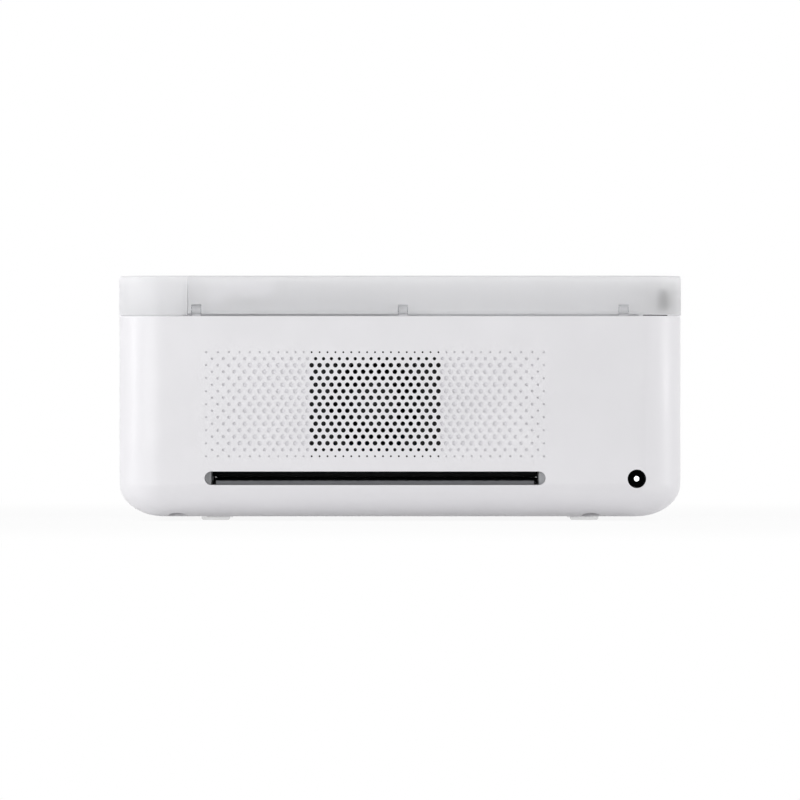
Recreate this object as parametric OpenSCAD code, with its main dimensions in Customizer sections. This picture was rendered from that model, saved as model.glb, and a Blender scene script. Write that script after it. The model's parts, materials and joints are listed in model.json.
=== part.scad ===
// Compact photo printer. A white moulded tub with a graded rear vent carries a
// frosted lid over a stored paper cassette, with the print mechanism inside.
// Millimetres, +Z up, origin at the middle of the footprint on the table.
// The paper door is at the front (-Y), the vent and power inlet at the rear (+Y).

/* [Overall] */
// Width over the lid and the end cap
printer_w = 194.5; // [193:0.5:205]
// Depth over the lid
printer_d = 123; // [122:0.5:132]
// Height from the table to the top of the lid
printer_h = 84.5; // [84:0.5:92]
// Radius of the four upright corners
corner_r = 16; // [15.5:0.25:17.5]
// How far the tub stands in from the lid, on each side
tub_inset = 0.15; // [0.05:0.05:0.4]
// Height of the rubber feet below the tub
foot_h = 1.4; // [0.8:0.1:2.5]

/* [Tub] */
// Wall thickness of the tub
wall = 2.2; // [1.8:0.1:2.6]
// Width of the rounded edge under the sides
edge_a = 15.2; // [13:0.1:15.4]
// Height of the rounded edge under the sides
edge_b = 11.4; // [9:0.1:11.6]
// Gap between the tub and the lid
seam = 0.3; // [0.2:0.05:0.6]
// Radius of a rubber foot
foot_r = 5; // [4:0.25:6]
// Half spacing of the feet across the width
foot_x = 64; // [50:1:68]
// Half spacing of the feet from front to back
foot_y = 34; // [25:1:38]

/* [Lid] */
// Height of the lid's sides
lid_h = 13.5; // [12.5:0.25:15]
// Thickness of the lid's sides
lid_wall = 1.6; // [1.2:0.1:2]
// Thickness of the lid's top
lid_top = 1.8; // [1.4:0.1:2]
// Rounding of the lid's top edge
lid_edge = 0.8; // [0.4:0.1:1.2]
// Where the lid ends and the end cap begins
split_x = 73.1; // [72.5:0.1:74]
// Gap between the lid and the end cap
split_gap = 0.3; // [0.2:0.05:0.5]
// Radius of the hinge barrel under the lid's rear edge
barrel_r = 1.75; // [1.6:0.05:2]
// Radius of the hinge pins
hinge_pin_r = 0.8; // [0.6:0.05:0.9]

/* [Rear vent and sockets] */
// Middle of the paper path across the width
paper_x = 8.6; // [7.5:0.1:9.5]
// Height of the vent's middle row
vent_z = 40.2; // [39.5:0.1:41]
// Number of rows in the vent
vent_rows = 17; // [13:2:17]
// Distance between two rows
row_pitch = 2.24; // [2.1:0.02:2.3]
// Distance between two holes in the middle of a row
hole_pitch = 2.73; // [2.5:0.01:2.8]
// Diameter of the full-size holes
hole_d = 1.6; // [1.2:0.05:1.8]
// Depth of the blind holes at the vent's sides
blind_depth = 0.8; // [0.5:0.05:1.2]
// Overall width of the rear paper slot
slot_w = 117.5; // [112:0.5:119]
// Height of the rear paper slot
slot_h = 4.66; // [4.4:0.02:5.2]
// Height of the paper path above the table
slot_z = 14.7; // [14.4:0.1:15.2]
// Place of the power inlet across the width
jack_x = -81.6; // [-83:0.1:-78]
// Radius of the hole over the power inlet
jack_hole_r = 3.2; // [3:0.05:3.6]

/* [Doors] */
// Width of the paper door's opening
bay_w = 115; // [112:0.5:115.5]
// Height of the paper door's opening
bay_h = 27; // [25:0.5:30]
// Length of the ribbon door's opening
ribbon_door_l = 73; // [71:0.5:74]
// Height of the ribbon door's opening
ribbon_door_h = 29; // [27:0.5:30]
// Gap all round a closed door
door_gap = 0.35; // [0.25:0.05:0.5]
// Radius of a door's hinge barrel
door_barrel_r = 1.6; // [1.5:0.05:1.8]
// Radius of a door's hinge pin
door_pin_r = 0.8; // [0.6:0.05:0.9]

/* [Paper cassette] */
// Length of the cassette
cassette_l = 152; // [151:0.5:153]
// Width of the cassette
cassette_w = 107; // [105:0.5:109]
// Height of the cassette's box
cassette_h = 17.5; // [15:0.5:18.5]
// Thickness of the cassette's cover
cover_t = 2; // [1.5:0.1:2.2]
// Wall thickness of the cassette
cassette_wall = 1.6; // [1.2:0.1:1.8]
// Length of a sheet of paper
sheet_l = 148; // [140:1:148]
// Width of a sheet of paper
sheet_w = 100; // [90:1:101]
// Thickness of the stack of paper
stack_t = 5; // [2:0.5:6]

/* [Mechanism] */
// Clear width between the two chassis plates
frame_span = 116; // [115:0.5:116.5]
// Thickness of the chassis plates
frame_t = 1.2; // [1:0.1:1.5]
// Distance of the platen roller behind the printer's middle
head_y = 8; // [7:0.25:9]
// Radius of the rubber platen roller
platen_r = 4; // [3.6:0.1:4.3]
// Radius of the steel drive roller
capstan_r = 3.2; // [2.6:0.1:3.4]
// Distance from the platen roller to the drive roller
capstan_gap = 16; // [15.5:0.1:16.8]
// Radius of the pinch roller
pinch_r = 3.5; // [3:0.1:3.7]
// Distance between the two ribbon spools
spool_gap = 44; // [43.5:0.1:44.6]
// Height of the ribbon spools
spool_z = 41; // [40.6:0.1:41.4]
// Radius of the ribbon cartridge's tubes
tube_r = 11.5; // [11:0.1:11.6]
// Angle by which the print head is lifted when parked
park_deg = 4.8; // [3:0.1:5]
// Tooth module of the gears
gear_m = 0.6; // [0.5:0.05:0.62]
// Side of the square cooling fan
fan_size = 35; // [30:1:36]
// Thickness of the cooling fan
fan_t = 10; // [8:0.5:11]
// Running clearance round every shaft
play = 0.05; // [0.02:0.01:0.1]
// Gap between pieces that slide or lie in one another
rest_gap = 0.25; // [0.15:0.05:0.35]

/* [Hidden] */
$fn = 64;

// Finishes
white_shell = "#ededec";
frosted = [0.93, 0.93, 0.94, 0.75];
dark_part = "#2b2c2e";
black_part = "#161617";
steel = "#b9bcc0";
rubber = "#26272a";
pale_part = "#dcdddd";
gear_white = "#e9e6dc";

// Tub and lid, worked out from the driving sizes
tub_w = printer_w - 2 * tub_inset;
tub_d = printer_d - 2 * tub_inset;
lid_z = printer_h - lid_h;
tub_top = lid_z - seam;
in_x = tub_w / 2 - wall;
in_y = tub_d / 2 - wall;
floor_z = foot_h + wall;
tub_r = corner_r - tub_inset;
edge_steps = 9;
tiny = 0.01;
over = 1;

// Points of a quarter ellipse that leaves a floor and meets a wall
function edge_curve(a, b, n) =
    [for (i = [0:n]) [-a + a * sin(90 * i / n), b - b * cos(90 * i / n)]];

// Half section of a pan of corner radius r, from its axis outwards
function pan_half(r, h, a, b, n) =
    concat([[0, 0]], [for (p = edge_curve(a, b, n)) [r + p[0], p[1]]], [[r, h], [0, h]]);

// Full section of a pan that is span wide
function pan_section(span, r, h, a, b, n) =
    let (half = [for (p = edge_curve(a, b, n)) [span / 2 + p[0], p[1]]],
         side = concat(half, [[span / 2, h]]))
    concat(side, [for (i = [len(side) - 1:-1:0]) [-side[i][0], side[i][1]]]);

// Solid block with four round corners and a rounded lower edge
module pan(w, d, h, r, a, b, n = edge_steps) {
    for (sx = [0, 1], sy = [0, 1])
        mirror([sx, 0, 0])
            mirror([0, sy, 0])
                translate([w / 2 - r, d / 2 - r, 0])
                    rotate_extrude(angle = 90)
                        polygon(pan_half(r, h, a, b, n));
    translate([0, d / 2 - r, 0])
        rotate([90, 0, 0])
            linear_extrude(d - 2 * r)
                polygon(pan_section(w, r, h, a, b, n));
    translate([r - w / 2, 0, 0])
        rotate([90, 0, 90])
            linear_extrude(w - 2 * r)
                polygon(pan_section(d, r, h, a, b, n));
}

// Box given by its lowest and highest corners
module block(lo, hi) {
    translate(lo)
        cube(hi - lo);
}

// Cylinder along X from x0 to x1, at height z and depth y
module rod_x(x0, x1, y, z, r) {
    translate([x0, y, z])
        rotate([90, 0, 90])
            cylinder(r = r, h = x1 - x0);
}

// Profile drawn in Y and Z, carried along X from x0 to x1
module along_x(x0, x1) {
    translate([x0, 0, 0])
        rotate([90, 0, 90])
            linear_extrude(x1 - x0)
                children();
}

// Cylinder along Y that starts at depth y
module rod_y(x, y, z, r, h) {
    translate([x, y, z])
        rotate([-90, 0, 0])
            cylinder(r = r, h = h);
}

// Rectangle with four round corners, centred on the origin
module round_rect(w, d, r) {
    square([w - 2 * r, d], center = true);
    square([w, d - 2 * r], center = true);
    for (sx = [-1, 1], sy = [-1, 1])
        translate([sx * (w / 2 - r), sy * (d / 2 - r)])
            circle(r);
}

// Slot with two round ends, w wide over all
module stadium(w, h) {
    square([w - h, h], center = true);
    for (s = [-1, 1])
        translate([s * (w - h) / 2, 0])
            circle(h / 2);
}

// ---------- Vent ----------
vent_cols = 19;
open_cols = 8.2;
spread_from = 8;
spread_gain = 0.0199;
spread_power = 2.4;
row_fade = [0.41, 0.31];
col_fade = [0.41, 0.16];

// Distance of column u from the vent's middle: even at first, then spreading
function col_x(u) =
    sign(u) * (hole_pitch * abs(u) + spread_gain * pow(max(abs(u) - spread_from, 0), spread_power));

// Share of the full diameter at column u of row r
function hole_share(u, r) =
    min(1, row_fade[0] + row_fade[1] * min(r, vent_rows - 1 - r),
        col_fade[0] + col_fade[1] * (vent_cols - abs(u)));

module vent_holes() {
    for (r = [0:vent_rows - 1])
        for (u = [-vent_cols + (r % 2) / 2:1:vent_cols]) {
            deep = abs(u) <= open_cols ? wall + over : blind_depth;
            rod_y(paper_x + col_x(u), tub_d / 2 - deep, vent_z + (r - (vent_rows - 1) / 2) * row_pitch,
                hole_share(u, r) * hole_d / 2, deep + over, $fn = 20);
        }
}

// ---------- Screw posts ----------
// Each post: place across, place front to back
posts = [[77, 50], [77, -50], [-66, 50], [-77, -50]];
post_r = 3.8;
post_z = 20;
well_r = 3;
shoulder = 3;
screw_r = 1.5;
screw_hole_r = 1.7;
screw_bite = 8;
head_r = 2.7;
head_t = 2;
driver_slot = 0.8;

module at_posts() {
    for (p = posts)
        translate([p[0], p[1], 0])
            children();
}

// ---------- Doors ----------
bay_z = foot_h + edge_b + 0.4;
bay_x0 = paper_x - bay_w / 2;
bay_x1 = paper_x + bay_w / 2;
front_hinge_y = door_barrel_r - tub_d / 2;
front_hinge_z = bay_z + door_gap + door_barrel_r;
ribbon_z = spool_z - tube_r - 4;
ribbon_y0 = head_y - ribbon_door_l / 2;
ribbon_y1 = head_y + ribbon_door_l / 2;
ribbon_hinge_x = tub_w / 2 - door_barrel_r;
ribbon_hinge_z = ribbon_z + door_gap + door_barrel_r;
ear = 3;
ear_r = 2.4;
pin_fit = 0.02;
scoop_r = 12;
scoop_depth = 0.9;

// Section of a door: outer face at -barrel, hinge axis at the origin
module flap_section(h) {
    difference() {
        union() {
            circle(door_barrel_r);
            translate([-door_barrel_r, 0])
                square([wall, h - 2 * door_gap - door_barrel_r]);
        }
        circle(door_pin_r + play);
        translate([-door_barrel_r - scoop_r + scoop_depth, h - 3.2 * door_barrel_r])
            circle(scoop_r, $fn = 96);
    }
}

// Two blocks beside an opening that hold the ends of a hinge pin
module hinge_ears(w, axis_in) {
    skin = 0.6;
    for (s = [-1, 1])
        translate([s * (w / 2 + ear / 2 - tiny) - ear / 2, skin - axis_in, -ear_r])
            cube([ear, axis_in - skin + ear_r, 2 * ear_r]);
}

// ---------- Tub ----------
bosses = [[-1, -40], [-1, 36], [1, -40], [1, 36]];
boss_r = 3.4;
boss_top = 6;
flange_w = 8;

function boss_x(side) = paper_x + side * (frame_span / 2 + frame_t + flange_w / 2);

foot_sink = 0.5;

module foot_places() {
    for (sx = [-1, 1], sy = [-1, 1])
        translate([sx * foot_x, sy * foot_y, 0])
            children();
}

module main_casing() {
    ribbon_pin_l = ribbon_door_l + 2 * ear;
    color(white_shell)
        difference() {
            union() {
                difference() {
                    translate([0, 0, foot_h])
                        pan(tub_w, tub_d, tub_top - foot_h, tub_r, edge_a, edge_b);
                    translate([0, 0, floor_z])
                        pan(2 * in_x, 2 * in_y, tub_top, tub_r - wall, edge_a - wall, edge_b - wall);
                }
                at_posts()
                    translate([0, 0, floor_z - tiny])
                        cylinder(r = post_r, h = post_z - floor_z + tiny);
                for (b = bosses)
                    translate([boss_x(b[0]), b[1], floor_z - tiny])
                        cylinder(r = boss_r, h = boss_top - floor_z + tiny);
                for (p = board_posts)
                    translate([p[0], p[1], floor_z - tiny])
                        cylinder(r = board_post_r, h = board[0][2] - floor_z + tiny);
                translate([paper_x, front_hinge_y, front_hinge_z])
                    hinge_ears(bay_w, door_barrel_r);
                translate([ribbon_hinge_x, head_y, ribbon_hinge_z])
                    rotate([0, 0, 90])
                        hinge_ears(ribbon_door_l, door_barrel_r);
            }
            vent_holes();
            translate([paper_x, tub_d / 2 + over, slot_z])
                rotate([90, 0, 0])
                    linear_extrude(wall + 2 * over)
                        stadium(slot_w, slot_h);
            rod_y(jack_x, in_y - over, jack_z, jack_hole_r, wall + 2 * over);
            block([bay_x0, -tub_d / 2 - over, bay_z], [bay_x1, -in_y + tiny, bay_z + bay_h]);
            block([in_x - tiny, ribbon_y0, ribbon_z],
                [tub_w / 2 + over, ribbon_y1, ribbon_z + ribbon_door_h]);
            at_posts() {
                translate([0, 0, foot_h - over])
                    cylinder(r = well_r, h = post_z - shoulder - foot_h + over);
                translate([0, 0, post_z - shoulder - over])
                    cylinder(r = screw_hole_r, h = shoulder + 2 * over);
            }
            for (b = bosses)
                translate([boss_x(b[0]), b[1], floor_z])
                    cylinder(r = chassis_screw_r, h = boss_top);
            rod_x(bay_x0 - ear, bay_x1 + ear, front_hinge_y, front_hinge_z, door_pin_r + pin_fit);
            rod_y(ribbon_hinge_x, ribbon_y0 - ear, ribbon_hinge_z, door_pin_r + pin_fit, ribbon_pin_l);
            foot_places()
                translate([0, 0, foot_h - over])
                    cylinder(r = foot_r + play, h = foot_sink + over);
        }
}

module rubber_feet() {
    foot_round = 0.5;
    color(rubber)
        foot_places()
            rotate_extrude()
                polygon([[0, 0], [foot_r - foot_round, 0], [foot_r, foot_round],
                    [foot_r, foot_h + foot_sink], [0, foot_h + foot_sink]]);
}

// Pan-head screw that points up, its head's underside at z = 0
module screw_up(r, length, hr, ht) {
    difference() {
        union() {
            translate([0, 0, -ht])
                cylinder(r = hr, h = ht);
            translate([0, 0, -tiny])
                cylinder(r = r, h = length + tiny);
        }
        for (a = [0, 90])
            rotate([0, 0, a])
                translate([0, 0, -ht])
                    cube([1.3 * hr, driver_slot, ht], center = true);
    }
}

module casing_screws() {
    color(steel)
        at_posts()
            translate([0, 0, post_z - shoulder])
                screw_up(screw_r, shoulder + screw_bite, head_r, head_t);
}

// ---------- Deck and its well ----------
deck_t = 2;
deck_gap = 0.1;
well_x0 = -83.5;
well_x1 = 70.5;
well_front = 54.5;
well_rear = 55.5;
well_floor_t = 1.5;
well_wall = 1.5;
well_corner = 4;
knuckle_w = 3;
knuckle_r = 1.55;
knuckle_gap = 0.25;
knuckles = [-78.5, -2.5, 68.7];
hinge_y = printer_d / 2 - barrel_r;
hinge_z = lid_z + barrel_r;
cassette_top = printer_h - lid_top - 1.2;
cassette_z = cassette_top - cover_t - cassette_h;
well_floor_z = cassette_z - rest_gap;
under_deck = well_floor_z - well_floor_t;
magnet = [12, 2.4, 2];
magnet_x = [-55, 45];
magnet_rim = 0.7;
deck_front = tub_d / 2 - wall - deck_gap;

function in_well(p) = p[0] > well_x0 && p[0] < well_x1;

module well_box(grow, z0, z1) {
    translate([(well_x0 + well_x1) / 2, (well_rear - well_front) / 2, z0])
        linear_extrude(z1 - z0)
            round_rect(well_x1 - well_x0 + 2 * grow, well_front + well_rear + 2 * grow, well_corner + grow);
}

module deck_plate() {
    translate([0, 0, tub_top - deck_t])
        linear_extrude(deck_t)
            round_rect(2 * (in_x - deck_gap), 2 * deck_front, tub_r - wall - deck_gap);
}

// Magnet pockets along the deck's front rim
module magnet_spots() {
    for (x = magnet_x)
        translate([x, magnet_rim + magnet[1] / 2 - deck_front, tub_top - magnet[2] / 2])
            children();
}

module top_deck() {
    eye_back = 1.2;
    spigot_r = post_r - 0.4;
    pocket_play = [0.1, 0.1, 0.2];
    color(white_shell)
        difference() {
            union() {
                deck_plate();
                well_box(well_wall, under_deck, tub_top);
                for (p = posts) {
                    spigot_top = in_well(p) ? under_deck : tub_top - deck_t;
                    translate([p[0], p[1], post_z])
                        cylinder(r = spigot_r, h = spigot_top - post_z + tiny);
                }
                for (x = knuckles)
                    along_x(x, x + knuckle_w) {
                        translate([hinge_y, hinge_z])
                            circle(knuckle_r);
                        translate([deck_front - eye_back, tub_top - tiny])
                            square([eye_back, hinge_z - tub_top]);
                    }
            }
            well_box(0, well_floor_z, tub_top + over);
            at_posts()
                translate([0, 0, post_z - over])
                    cylinder(r = screw_r + pin_fit, h = screw_bite + 2 * over);
            for (x = knuckles)
                rod_x(x - over, x + knuckle_w + over, hinge_y, hinge_z, hinge_pin_r + pin_fit);
            magnet_spots()
                cube(magnet + pocket_play, center = true);
        }
}

module catch_magnets() {
    sunk = 0.2;
    color(steel)
        magnet_spots()
            translate([0, 0, -sunk / 2])
                cube(magnet - [0, 0, sunk], center = true);
}

// ---------- Lid and end cap ----------
button_x = (split_x + printer_w / 2) / 2;
button_y = -38;
button_r = 5;
button_gap = 0.2;
button_travel = 0.6;
light_y = button_y - 13;
light_r = 1.2;

// Block of the cover between two planes, inset all round and at its top
module cover_block(inset, top_inset, x0, x1, h) {
    intersection() {
        translate([0, 0, printer_h - top_inset])
            mirror([0, 0, 1])
                pan(printer_w - 2 * inset, printer_d - 2 * inset, h, corner_r - inset, lid_edge, lid_edge, 3);
        block([x0, -printer_d, lid_z - 2 * over], [x1, printer_d, printer_h + over]);
    }
}

bar_x0 = 4.1;
bar_x1 = 66.3;
bar_y = [hinge_y - barrel_r, hinge_y + 0.55];
bar_z = [lid_z + 0.3, lid_z + 3.6];
lid_x1 = split_x - split_gap / 2;

module lid() {
    color(frosted)
        difference() {
            union() {
                difference() {
                    cover_block(0, 0, -printer_w, lid_x1, lid_h);
                    cover_block(lid_wall, lid_top, -printer_w, lid_x1 - lid_wall, lid_h);
                }
                rod_x(-printer_w / 2 + corner_r, lid_x1, hinge_y, hinge_z, barrel_r);
            }
            difference() {
                block([-printer_w, hinge_y, lid_z - over], [printer_w, printer_d, hinge_z]);
                rod_x(-printer_w, printer_w, hinge_y, hinge_z, barrel_r);
            }
            rod_x(-printer_w / 2 + corner_r - over, lid_x1 + over, hinge_y, hinge_z, hinge_pin_r + play);
            for (x = knuckles)
                block([x - knuckle_gap, hinge_y - barrel_r - over, lid_z - over],
                    [x + knuckle_w + knuckle_gap, printer_d, hinge_z + knuckle_r + knuckle_gap]);
            block([bar_x0, bar_y[0] - over, bar_z[0]], [bar_x1, bar_y[1], bar_z[1]]);
        }
}

module lid_hinge_bar() {
    fit = 0.05;
    dimples = 6;
    dimple_r = 0.8;
    dimple_pitch = (bar_x1 - bar_x0) / dimples;
    color(dark_part)
        difference() {
            block([bar_x0 + fit, bar_y[0], bar_z[0] + fit],
                [bar_x1 - fit, bar_y[1] - fit, bar_z[1] - fit]);
            for (i = [0:dimples - 1])
                rod_y(bar_x0 + (i + 0.5) * dimple_pitch, bar_y[0] - tiny, (bar_z[0] + bar_z[1]) / 2,
                    dimple_r, dimple_r);
        }
}

module lid_hinge_pins() {
    grip = 2.1;
    color(steel)
        for (x = knuckles)
            rod_x(x - grip, min(x + knuckle_w + grip, lid_x1 - 0.2), hinge_y, hinge_z, hinge_pin_r);
}

module lid_catch_plates() {
    plate_t = 0.8;
    plate_w = 3.2;
    plate_z = lid_z + 0.2;
    color(steel)
        for (x = magnet_x)
            block([x - magnet[0] / 2, lid_wall - printer_d / 2, plate_z],
                [x + magnet[0] / 2, lid_wall - printer_d / 2 + plate_w, plate_z + plate_t]);
}

// Lowest and highest corner of the damper, in plan
damper = [[-92.4, 40.5], [-84.2, 51.5]];

module lid_hinge_damper() {
    damper_top = printer_h - lid_top - 0.7;
    foot_t = 2;
    size = damper[1] - damper[0];
    middle = (damper[0] + damper[1]) / 2;
    round_r = 1.5;
    socket = [46, 77];
    socket_r = 2.4;
    socket_depth = 3;
    color(black_part)
        difference() {
            union() {
                block([damper[0][0], damper[0][1], tub_top], [damper[1][0], damper[1][1], tub_top + foot_t]);
                translate([middle[0], middle[1], tub_top + foot_t - tiny])
                    linear_extrude(damper_top - tub_top - foot_t)
                        round_rect(size[0], size[1], round_r);
            }
            rod_x(damper[0][0] - over, damper[0][0] + socket_depth, socket[0], socket[1], socket_r);
        }
}

module end_cap() {
    lip = 0.9;
    lip_rise = 3;
    cap_x0 = split_x + split_gap / 2;
    color(frosted)
        difference() {
            union() {
                difference() {
                    cover_block(0, 0, cap_x0, printer_w, lid_h);
                    cover_block(lid_wall, lid_top, cap_x0 + lid_wall, printer_w, lid_h);
                }
                intersection() {
                    difference() {
                        cover_block(lid_wall - tiny, lid_top, cap_x0 + lid_wall - tiny, printer_w,
                            lid_h - lid_top + seam);
                        cover_block(lid_wall + lip, lid_top, cap_x0 + lid_wall + lip, printer_w,
                            lid_h + over);
                    }
                    block([0, -printer_d, tub_top], [printer_w, printer_d, lid_z + lip_rise]);
                }
            }
            translate([button_x, button_y, printer_h - lid_top - over])
                cylinder(r = button_r + button_gap, h = lid_top + 2 * over);
            translate([button_x, light_y, printer_h - lid_top - over])
                cylinder(r = light_r + pin_fit, h = lid_top + 2 * over);
        }
}

switch_top = tub_top + 5.4;
stem_r = 1.6;

module power_button() {
    flange = 1.2;
    dish_r = 22;
    dish = 0.35;
    stem_sunk = 1.4;
    below_lid = 0.2;
    color(pale_part)
        difference() {
            union() {
                translate([button_x, button_y, printer_h - lid_top - flange - button_gap])
                    cylinder(r = button_r + 1, h = flange);
                translate([button_x, button_y, printer_h - lid_top - button_gap - tiny])
                    cylinder(r = button_r, h = lid_top + button_gap - below_lid);
                translate([button_x, button_y, switch_top - stem_sunk])
                    cylinder(r = stem_r, h = printer_h - lid_top - flange - switch_top + stem_sunk);
            }
            translate([button_x, button_y, printer_h - below_lid - dish + dish_r])
                sphere(dish_r);
        }
}

module power_switch() {
    base = [14, 16, 1.6];
    body = 6.4;
    stem_play = 0.15;
    color("#2f6b4a")
        difference() {
            union() {
                translate([button_x, button_y, tub_top + base[2] / 2])
                    cube(base, center = true);
                block([button_x - body / 2, button_y - body / 2, tub_top + base[2] - tiny],
                    [button_x + body / 2, button_y + body / 2, switch_top]);
            }
            translate([button_x, button_y, tub_top + base[2]])
                cylinder(r = stem_r + stem_play, h = switch_top);
        }
}

module status_light() {
    collar = [0.8, 1];
    below_lid = 0.1;
    color("#bfe3ff")
        union() {
            translate([button_x, light_y, printer_h - lid_top])
                cylinder(r = light_r, h = lid_top - below_lid);
            translate([button_x, light_y, printer_h - lid_top - collar[1]])
                cylinder(r = light_r + collar[0], h = collar[1]);
        }
}

// ---------- Doors and pins ----------
module front_door() {
    color(white_shell)
        translate([0, front_hinge_y, front_hinge_z])
            along_x(bay_x0 + door_gap, bay_x1 - door_gap)
                flap_section(bay_h);
}

module front_door_pin() {
    reach = ear - 0.4;
    color(steel)
        rod_x(bay_x0 - reach, bay_x1 + reach, front_hinge_y, front_hinge_z, door_pin_r);
}

module ribbon_door() {
    color(white_shell)
        translate([ribbon_hinge_x, ribbon_y0 + door_gap, ribbon_hinge_z])
            rotate([90, 0, 180])
                linear_extrude(ribbon_door_l - 2 * door_gap)
                    flap_section(ribbon_door_h);
}

module ribbon_door_pin() {
    reach = ear - 0.4;
    color(steel)
        rod_y(ribbon_hinge_x, ribbon_y0 - reach, ribbon_hinge_z, door_pin_r, ribbon_door_l + 2 * reach);
}

// ---------- Paper cassette, stored in the deck's well ----------
cassette_x = (well_x0 + well_x1) / 2;
cassette_y = (well_rear - well_front) / 2;
cassette_x0 = cassette_x - cassette_l / 2;
cassette_x1 = cassette_x + cassette_l / 2;
cassette_r = 3;
cover_z = cassette_z + cassette_h;
cover_axis_r = 1.3;
cover_axis_y = cassette_y + cassette_w / 2 - cover_axis_r;
cover_axis_z = cover_z + cover_t - cover_axis_r;
cover_pin_r = 0.6;
tray_floor = cassette_z + cassette_wall;
lift_axis_x = cassette_x1 - cassette_wall - 1.5;
lift_axis_r = 1;
lift_axis_z = tray_floor + lift_axis_r + 0.25;
lift_t = 0.8;
lift_z = lift_axis_z - lift_t / 2;

module paper_cassette() {
    rib_count = 5;
    rib_pitch = 3;
    rib_t = 1.2;
    rib_l = 30;
    pin_end = 0.6;
    color(pale_part)
        difference() {
            union() {
                difference() {
                    translate([cassette_x, cassette_y, cassette_z])
                        linear_extrude(cassette_h + cover_t)
                            round_rect(cassette_l, cassette_w, cassette_r);
                    translate([cassette_x, cassette_y, tray_floor])
                        linear_extrude(cassette_h + cover_t)
                            round_rect(cassette_l - 2 * cassette_wall, cassette_w - 2 * cassette_wall,
                                cassette_r - cassette_wall);
                    block([cassette_x0 + cassette_wall, -printer_d, cover_z],
                        [cassette_x1 - cassette_wall, printer_d, printer_h]);
                }
                for (i = [0:rib_count - 1])
                    block([cassette_x1 - 0.3, cassette_y - rib_l / 2, cassette_z + 2 + i * rib_pitch],
                        [cassette_x1 + 0.5, cassette_y + rib_l / 2, cassette_z + 2 + i * rib_pitch + rib_t]);
            }
            block([cassette_x0 + cassette_wall, cover_axis_y - cover_axis_r - rest_gap,
                    cover_axis_z - cover_axis_r - rest_gap],
                [cassette_x1 - cassette_wall, printer_d, printer_h]);
            rod_x(cassette_x0 + pin_end, cassette_x1 - pin_end, cover_axis_y, cover_axis_z,
                cover_pin_r + play);
            rod_y(lift_axis_x, cassette_y - cassette_w / 2 + pin_end, lift_axis_z, cover_pin_r + play,
                cassette_w - 2 * pin_end);
        }
}

module cassette_cover() {
    notch = [24, 44];
    grip = [50, 12, 0.6];
    pin_end = 0.8;
    end_gap = rest_gap;
    cover_x0 = cassette_x0 + cassette_wall + end_gap;
    cover_x1 = cassette_x1 - cassette_wall - end_gap;
    cover_y0 = cassette_y - cassette_w / 2;
    color(pale_part)
        difference() {
            union() {
                block([cover_x0, cover_y0, cover_z], [cover_x1, cover_axis_y, cover_z + cover_t]);
                rod_x(cover_x0, cover_x1, cover_axis_y, cover_axis_z, cover_axis_r);
                rod_x(cassette_x0 + pin_end, cassette_x1 - pin_end, cover_axis_y, cover_axis_z, cover_pin_r);
            }
            block([cover_x0 - over, cassette_y - notch[1] / 2, cover_z - over],
                [cover_x0 + notch[0], cassette_y + notch[1] / 2, cover_z + cover_t + over]);
            translate([cover_x0 + 55, cover_y0 + 8, cover_z + cover_t - grip[2]])
                cube([grip[0], grip[1], over]);
        }
}

module paper_lift_plate() {
    far_gap = 1;
    half_w = cassette_w / 2 - cassette_wall - 1.2;
    half_pin = cassette_w / 2 - 0.7;
    hole_r = 6;
    color(steel)
        difference() {
            union() {
                block([cassette_x0 + cassette_wall + far_gap, cassette_y - half_w, lift_z],
                    [lift_axis_x, cassette_y + half_w, lift_z + lift_t]);
                rod_y(lift_axis_x, cassette_y - half_w, lift_axis_z, lift_axis_r, 2 * half_w);
                rod_y(lift_axis_x, cassette_y - half_pin, lift_axis_z, cover_pin_r, 2 * half_pin);
            }
            for (x = [-40, 0, 40])
                translate([cassette_x + x, cassette_y, lift_z - over])
                    cylinder(r = hole_r, h = lift_t + 2 * over);
        }
}

module paper_stack() {
    color("white")
        translate([cassette_x - sheet_l / 2, cassette_y - sheet_w / 2, lift_axis_z + lift_axis_r + tiny])
            cube([sheet_l, sheet_w, stack_t]);
}

// ---------- Chassis ----------
frame_x0 = paper_x - frame_span / 2;
frame_x1 = paper_x + frame_span / 2;
plate_front = 2.15 - in_y;
plate_rear = in_y - 7;
plate_low = floor_z + 1;
plate_top = under_deck - 1.2;
paper_half = 0.15;
platen_z = slot_z - paper_half - platen_r;
capstan_y = head_y + capstan_gap;
capstan_z = slot_z - paper_half - capstan_r;
pinch_z = slot_z + paper_half + pinch_r;
journal_r = 2;
pinch_journal_r = 1.5;
bush_wall = 1.1;
supply_y = head_y - spool_gap / 2;
take_up_y = head_y + spool_gap / 2;
hub_r = 3;
pickup_y = plate_front + 3;
pickup_z = bay_z + bay_h - 0.2;
pickup_shaft_r = 2.5;
pivot_y = head_y - 34;
pivot_z = spool_z + 15;
pivot_r = 2;
chassis_screw_r = 1.25;
flange_t = 1.2;
gear_w = 2.5;
gear_gap = 0.7;
capstan_teeth = 16;
platen_teeth = 20;
idler_teeth = 16;
pinion_teeth = 12;
reduction_teeth = 36;
hub_teeth = 30;

function pitch_r(n) = n * gear_m / 2;

// Point at distance a from p and b from q, on the left of the line from p to q
function meet(p, q, a, b) =
    let (d = norm(q - p), u = (q - p) / d, s = (a * a - b * b + d * d) / (2 * d), h = sqrt(a * a - s * s))
    p + s * u + h * [-u[1], u[0]];

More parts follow.
